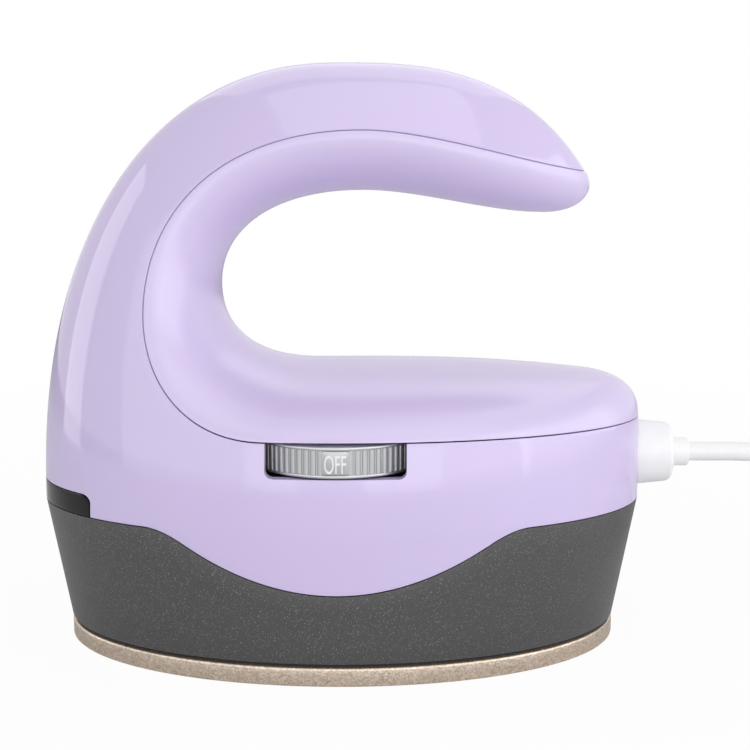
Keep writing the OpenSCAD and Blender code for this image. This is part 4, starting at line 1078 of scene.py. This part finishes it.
def rib_tree():
    """Geometry nodes: bars round a circle, left out where the label sits, joined to the core."""
    tree = bpy.data.node_groups.new("dial_ribs", "GeometryNodeTree")
    face = tree.interface
    face.new_socket("Geometry", in_out="INPUT", socket_type="NodeSocketGeometry")
    for name, kind in (("Ribs", "Int"), ("Radius", "Float"), ("Half Width", "Float"),
                       ("Height", "Float"), ("Length", "Float"), ("Bare Width", "Float"),
                       ("Centre", "Vector"), ("Finish", "Material")):
        face.new_socket(name, in_out="INPUT", socket_type="NodeSocket" + kind)
    face.new_socket("Geometry", in_out="OUTPUT", socket_type="NodeSocketGeometry")
    given = add(tree, "NodeGroupInput").outputs
    ring = add(tree, "GeometryNodeMeshCircle",
               {"Vertices": given["Ribs"], "Radius": given["Radius"]})
    where = add(tree, "GeometryNodeInputPosition")
    part = add(tree, "ShaderNodeSeparateXYZ", {"Vector": where.outputs[0]})
    off = add(tree, "ShaderNodeMath", {0: part.outputs["X"]}, operation="ABSOLUTE")
    near = add(tree, "FunctionNodeCompare", {"A": off.outputs[0], "B": given["Bare Width"]},
               data_type="FLOAT", operation="LESS_THAN")
    front = add(tree, "FunctionNodeCompare", {"A": part.outputs["Y"], "B": 0.0},
                data_type="FLOAT", operation="LESS_THAN")
    bare = add(tree, "FunctionNodeBooleanMath", {0: near.outputs[0], 1: front.outputs[0]},
               operation="AND")
    kept = add(tree, "GeometryNodeDeleteGeometry", {"Geometry": ring.outputs[0],
                                                    "Selection": bare.outputs[0]}, domain="POINT")
    bar = add(tree, "GeometryNodeMeshCylinder",
              {"Vertices": RIB_SIDES, "Radius": 1.0, "Depth": given["Length"]})
    size = add(tree, "ShaderNodeCombineXYZ",
               {"X": given["Height"], "Y": given["Half Width"], "Z": 1.0})
    oval = add(tree, "GeometryNodeTransform", {"Geometry": bar.outputs["Mesh"],
                                               "Scale": size.outputs[0]})
    turn = add(tree, "ShaderNodeMath", {0: part.outputs["Y"], 1: part.outputs["X"]},
               operation="ARCTAN2")
    spin = add(tree, "ShaderNodeCombineXYZ", {"Z": turn.outputs[0]})
    copies = add(tree, "GeometryNodeInstanceOnPoints", {"Points": kept.outputs[0],
                                                        "Instance": oval.outputs[0],
                                                        "Rotation": spin.outputs[0]})
    moved = add(tree, "GeometryNodeTransform", {"Geometry": copies.outputs[0],
                                                "Translation": given["Centre"]})
    real = add(tree, "GeometryNodeRealizeInstances", {"Geometry": moved.outputs[0]})
    both = add(tree, "GeometryNodeJoinGeometry")
    tree.links.new(given["Geometry"], both.inputs[0])
    tree.links.new(real.outputs[0], both.inputs[0])
    shown = add(tree, "GeometryNodeSetMaterial", {"Geometry": both.outputs[0],
                                                  "Material": given["Finish"]})
    add(tree, "NodeGroupOutput", {"Geometry": shown.outputs[0]})
    return tree


def run_tree(piece, tree, values):
    """Runs a geometry node tree on a piece with named inputs and keeps the plain mesh."""
    modifier = piece.modifiers.new(tree.name, "NODES")
    modifier.node_group = tree
    for item in tree.interface.items_tree:
        if item.in_out == "INPUT" and item.name in values:
            modifier[item.identifier] = values[item.name]
    settle(piece)


class PRESS_OT_dial(bpy.types.Operator):
    """Build the ribbed thumb dial, its label and the mark on it"""
    bl_idname = "press.dial"
    bl_label = "Dial"

    def execute(self, context):
        sizes = context.scene.press_sizes
        axis, low, high = dial_place()
        middle = (low + high) / 2
        wheel = new_piece("dial_wheel_ribbed", dial_core(axis, low, high), FINISHES["dial"],
                          body=None)
        run_tree(wheel, rib_tree(), {
            "Ribs": sizes.rib_count, "Radius": DIAL_R * MM, "Half Width": sizes.rib_width,
            "Height": sizes.rib_height, "Length": (high - low - 2 * RIM_T) * MM,
            "Bare Width": (LABEL_W / 2 - LABEL_FREE) * MM,
            "Centre": Vector((axis.x, axis.y, middle)) * MM, "Finish": FINISHES["dial"]})
        soften(wheel)
        declare(wheel, "dial", ["dial_wheel"])
        label = label_plate(axis, middle, (high - low) - 2 * RIM_T - LABEL_FREE)
        new_piece("dial_label_plate", label, FINISHES["label"], "dial", ["dial_label"])
        mark = wrapped_text(sizes.mark, axis, middle - MARK_DROP, sizes.mark_height / MM)
        new_piece("dial_mark_print", mark, FINISHES["mark"], "dial")
        return {"FINISHED"}


def wrap(axis, x, z, radius):
    """A flat drawing's point (x, z) bent round the dial's front at a radius."""
    return Vector((axis.x + radius * math.sin(x / DIAL_R),
                   axis.y - radius * math.cos(x / DIAL_R), z))


def label_plate(axis, middle, height):
    """Rounded plate bent round the wheel's front."""
    front, soft = RIM_R + LABEL_PROUD, LABEL_SOFT

    def ring(inset, radius):
        w, h, r = LABEL_W / 2 - inset, height / 2 - inset, LABEL_CORNER - inset
        outline = (arc((w - r, h - r), r, 0, 90, 5)
                   + [((w - r) * k / 4, h) for k in range(3, -4, -1)]
                   + arc((r - w, h - r), r, 90, 180, 5) + arc((r - w, r - h), r, 180, 270, 5)
                   + [((w - r) * k / 4, -h) for k in range(-3, 4)]
                   + arc((w - r, r - h), r, 270, 360, 5))
        return [wrap(axis, x, middle + z, radius) for x, z in outline]
    rings = [ring(0, DIAL_R), ring(0, front - soft), ring(soft * 0.3, front - soft * 0.3),
             ring(soft, front)]
    bm = bmesh.new()
    loft(bm, rings)
    close_up(bm)
    bmesh.ops.triangulate(bm, faces=[f for f in bm.faces if len(f.verts) > 4])
    return bm


def wrapped_text(word, axis, middle, height):
    """Letters as a thin print on the label, bent with it."""
    text = bpy.data.curves.new("mark", "FONT")
    text.body = word
    text.align_x, text.align_y = "CENTER", "CENTER"
    text.resolution_u = 6
    source = bpy.data.objects.new("mark", text)
    bpy.context.scene.collection.objects.link(source)
    bpy.context.view_layer.update()
    shown = source.evaluated_get(bpy.context.evaluated_depsgraph_get())
    mesh = bpy.data.meshes.new_from_object(shown)
    bpy.data.objects.remove(source)
    bm = bmesh.new()
    bm.from_mesh(mesh)
    xs = [v.co.x for v in bm.verts]
    ys = [v.co.y for v in bm.verts]
    wide, tall = max(xs) - min(xs), max(ys) - min(ys)
    centre = ((max(xs) + min(xs)) / 2, (max(ys) + min(ys)) / 2)
    for v in bm.verts:
        v.co = ((v.co.x - centre[0]) / wide * MARK_WIDTH, (v.co.y - centre[1]) / tall * height, 0)
    bmesh.ops.remove_doubles(bm, verts=bm.verts, dist=1e-5)
    rise = bmesh.ops.extrude_face_region(bm, geom=bm.faces[:])
    for v in [g for g in rise["geom"] if isinstance(g, bmesh.types.BMVert)]:
        v.co.z = MARK_T
    bmesh.ops.recalc_face_normals(bm, faces=bm.faces)
    for v in bm.verts:
        x, z, out = v.co
        v.co = wrap(axis, x, middle + z, RIM_R + MARK_BASE + out)
    return bm


# the collar: radii of its body at the shell and at its end, of its stub and of its bore
COLLAR_BIG = 5.9
COLLAR_SMALL = 5.4
STUB_R = 2.6
CORD_BORE = 1.75
COLLAR_LIP = 1.6      # thickness of the flange inside the shell
COLLAR_FACE = 0.3     # where the body begins to narrow, past the shell's end
COLLAR_SOFT = 0.9     # radius of the body's end
STUB_L = 3.4
STUB_SOFT = 0.4       # radius of the stub's end and of the hollow at its root


class PRESS_OT_collar(bpy.types.Operator):
    """Build the white collar and stub at the tail"""
    bl_idname = "press.collar"
    bl_label = "Collar"

    def execute(self, context):
        collar_piece()
        return {"FINISHED"}


def collar_piece():
    """Turned collar: inner flange, tapering body with a rounded end, and the stub."""
    lo, hi = box_mm("cord_bushing")
    z = (lo.z + hi.z) / 2
    face, step, end = Outline().body_l / 2 + COLLAR_FACE, hi.x - STUB_L, hi.x
    flange = hi.z - z
    profile = ([(CORD_BORE, lo.x), (flange, lo.x), (flange, lo.x + COLLAR_LIP),
                (COLLAR_BIG, lo.x + COLLAR_LIP), (COLLAR_BIG, face)]
               + [(mix(COLLAR_BIG, COLLAR_SMALL, f), mix(face, step - COLLAR_SOFT, f))
                  for f in (0.25, 0.5, 0.75, 1)]
               + arc_profile(COLLAR_SMALL, step, COLLAR_SOFT)
               + [(STUB_R + 0.35, step), (STUB_R + 0.1, step + 0.1),
                  (STUB_R, step + STUB_SOFT), (STUB_R, end - STUB_SOFT)]
               + arc_profile(STUB_R, end, STUB_SOFT) + [(CORD_BORE, end)])
    bm = bmesh.new()
    revolve(bm, profile, lambda a, b, h: Vector((h, a, z + b)), 72)
    close_up(bm)
    new_piece("cord_collar", bm, FINISHES["cord"], nodes=["cord_bushing"])


def arc_profile(radius, height, soft):
    """Quarter round at the end of a turned part, as (radius, height) pairs."""
    return [(radius - soft + soft * math.cos(t), height - soft + soft * math.sin(t))
            for t in (math.pi / 8, math.pi / 4, 3 * math.pi / 8, math.pi / 2)]


# ---------------------------------------------------------------- cord
CORD_D = 3.4
CORD_Z = 33.0
# the lead: where it leaves the stub, and its way down to the coil as (x, z)
LEAD_START = 63.5
LEAD_ROUTE = [(68, 33), (72, 33), (76, 32.8), (80.5, 32), (85, 30.2), (89.5, 27.6), (94, 24.4),
              (98.5, 21.2), (103, 18.4), (107.5, 16.1), (112, 14.4)]
LEAD_STEPS = 4        # stretches drawn between two points of the lead
TAIL_R = 16           # the tail's bend towards the plug
PLUG_W = 18.4
PLUG_GAP = 0.7        # between the plug and the coil
PLUG_Y = -CORD_D / 2 - PLUG_GAP - PLUG_W / 2
PLUG_Z = 6.5
# the stored coil: its middle, turns, layers and inner radius, and the pitch between turns
# beside and above each other
COIL_X = 120
COIL_TURNS = 12.75
COIL_LAYERS = 4
COIL_R = 14.2
TURN_STEP = 3.9
LAYER_STEP = 3.86
TURN_POINTS = 40      # points drawn in a turn
CORD_SIDES = 14
TURNS_EACH = COIL_TURNS / COIL_LAYERS
COIL_BIG = COIL_R + TURNS_EACH * TURN_STEP
COIL_TOP = CORD_D / 2 + (COIL_LAYERS - 1) * LAYER_STEP


def coil_at(u):
    """Centre line of the coil after u turns: in and out by layers, from the top down."""
    k = min(COIL_LAYERS - 1, int(u / TURNS_EACH))
    f = u / TURNS_EACH - k
    radius = mix(COIL_BIG, COIL_R, f) if k % 2 == 0 else mix(COIL_R, COIL_BIG, f)
    height = COIL_TOP - LAYER_STEP * sum(
        smooth((u - j * TURNS_EACH + 0.25) / 0.5) for j in range(1, COIL_LAYERS))
    a = math.tau * u - math.pi / 2
    return Vector((COIL_X + radius * math.cos(a), COIL_BIG + radius * math.sin(a), height))


def rounded_route(points, steps):
    """A smooth line through points, with steps stretches between each two."""
    line = []
    for i in range(len(points) - 1):
        before = points[max(0, i - 1)]
        after = points[min(len(points) - 1, i + 2)]
        a, b = points[i], points[i + 1]
        hook = [a, a + (b - before) / 6, b - (after - a) / 6, b]
        line += [bezier(hook, k / steps) for k in range(steps)]
    return line + [points[-1]]


def cord_path():
    """The cord's centre line from the stub to the plug, in millimetres."""
    lead = [Vector((LEAD_START, 0, CORD_Z))] + [Vector((x, 0, z)) for x, z in LEAD_ROUTE]
    lead += [Vector((COIL_X - CORD_D, 0, COIL_TOP)), coil_at(0)]
    turns = [coil_at(k / TURN_POINTS) for k in range(1, int(COIL_TURNS * TURN_POINTS))]
    x = COIL_X - COIL_BIG
    run = COIL_BIG - CORD_D - PLUG_Y - TAIL_R
    bend = TAIL_R * math.pi / 2

    def height(s):
        return mix(CORD_D / 2, PLUG_Z, smooth(s / (run + bend)))
    tail = [coil_at(COIL_TURNS)]
    tail += [Vector((x, COIL_BIG - CORD_D - run * k / 12, height(run * k / 12))) for k in range(12)]
    for k in range(19):
        a = math.pi / 2 * k / 18
        tail.append(Vector((x + TAIL_R * (1 - math.cos(a)), PLUG_Y + TAIL_R * (1 - math.sin(a)),
                            height(run + TAIL_R * a))))
    return rounded_route(lead, LEAD_STEPS) + turns + tail


def sweep(bm, path, radius, sides):
    """Round tube along a path, its rings carried along without twist."""
    rings = []
    up = Vector((0, 0, 1))
    for i, p in enumerate(path):
        way = (path[min(len(path) - 1, i + 1)] - path[max(0, i - 1)]).normalized()
        up = (up - way * up.dot(way)).normalized()
        side = way.cross(up)
        turns = [math.tau * k / sides for k in range(sides)]
        rings.append([p + radius * (side * math.cos(t) + up * math.sin(t)) for t in turns])
    loft(bm, rings)


class PRESS_OT_cord(bpy.types.Operator):
    """Lay the cord out of its stub, into its stored coil and on to the plug"""
    bl_idname = "press.cord"
    bl_label = "Cord"

    def execute(self, context):
        path = cord_path()
        bm = bmesh.new()
        sweep(bm, path, CORD_D / 2, CORD_SIDES)
        bmesh.ops.recalc_face_normals(bm, faces=bm.faces)
        cord = new_piece("mains_cord", bm, FINISHES["cord"],
                         nodes=["cord_lead", "cord_coil", "cord_tail"])
        plug = plug_piece()
        return {"FINISHED"}


# the plug's moulding: distance from the strain relief's end, width, height, squareness
PLUG_SECTIONS = [(0, 4.8, 4.8, 2), (6, 5.4, 5.4, 2), (13, 6.6, 6.6, 2.2), (15, 11, 9, 3),
                 (21, 14, 10.5, 3.4), (28, 16, 11.5, 4), (31, 18, 12.6, 5), (35, 18.4, 12.8, 5)]
RELIEF_RINGS = (2.5, 4.7, 6.9, 9.1, 11.3)
RING_HALF = 0.6       # half width of a ring groove
RING_DEPTH = 0.14     # its depth, as a share of the relief's width
PLUG_END = 34         # from here the plug's end is rounded over
END_ROUND = 0.05
PLUG_SIDES = 40


def plug_section(distance):
    """Width, height and squareness of the plug at a distance along it."""
    return [lookup(distance, [(s[0], s[k]) for s in PLUG_SECTIONS]) for k in (1, 2, 3)]


def plug_piece():
    """Moulded plug: a tapering relief with ring grooves, and a grip that widens towards its rounded
    end.
    """
    start = COIL_X - COIL_BIG + TAIL_R
    # close together along the ring grooves, the shoulder and the rounded end
    stops = [k * 0.55 for k in range(24)] + [13, 13.6, 14.3, 15] + [15 + k for k in range(1, 19)]
    stops += [33.6, 34.2, 34.7, 35]
    rings = []
    for d in sorted(set(stops)):
        w, h, power = plug_section(d)
        groove = max([max(0, 1 - abs(d - g) / RING_HALF) for g in RELIEF_RINGS])
        shrink = 1 - RING_DEPTH * groove
        if d > PLUG_END:
            shrink -= END_ROUND * (d - PLUG_END) ** 2
        ring = []
        for k in range(PLUG_SIDES):
            a = math.tau * k / PLUG_SIDES
            c, s = math.cos(a), math.sin(a)
            ring.append(Vector((
                start + d, PLUG_Y + math.copysign(w / 2 * shrink * abs(c) ** (2 / power), c),
                PLUG_Z + math.copysign(h / 2 * shrink * abs(s) ** (2 / power), s))))
        rings.append(ring)
    bm = bmesh.new()
    loft(bm, rings)
    bmesh.ops.recalc_face_normals(bm, faces=bm.faces)
    return new_piece("plug_moulding", bm, FINISHES["cord"], nodes=["plug_body"])


class PRESS_PT_panel(bpy.types.Panel):
    """Lists the press's pieces and sizes in the sidebar"""
    bl_label = "Heat Press"
    bl_idname = "PRESS_PT_panel"
    bl_space_type = "VIEW_3D"
    bl_region_type = "UI"
    bl_category = "Heat Press"

    def draw(self, context):
        for operator in OPERATORS:
            self.layout.operator(operator.bl_idname)
        for group in (context.scene.press_sizes, context.scene.press_colours):
            for name in group.__annotations__:
                self.layout.prop(group, name)


OPERATORS = (PRESS_OT_finishes, PRESS_OT_stage, PRESS_OT_collar, PRESS_OT_cord, PRESS_OT_shells,
             PRESS_OT_skirt, PRESS_OT_plate, PRESS_OT_window, PRESS_OT_dial)
CLASSES = (PressSizes, PressColours) + OPERATORS + (PRESS_PT_panel,)


def register():
    for cls in CLASSES:
        bpy.utils.register_class(cls)
    bpy.types.Scene.press_sizes = PointerProperty(type=PressSizes)
    bpy.types.Scene.press_colours = PointerProperty(type=PressColours)


def unregister():
    del bpy.types.Scene.press_colours
    del bpy.types.Scene.press_sizes
    for cls in reversed(CLASSES):
        bpy.utils.unregister_class(cls)


def main():
    """Builds everything in order."""
    register()
    for operator in OPERATORS:
        group, name = operator.bl_idname.split(".")
        getattr(getattr(bpy.ops, group), name)()


if __name__ == "__main__":
    main()
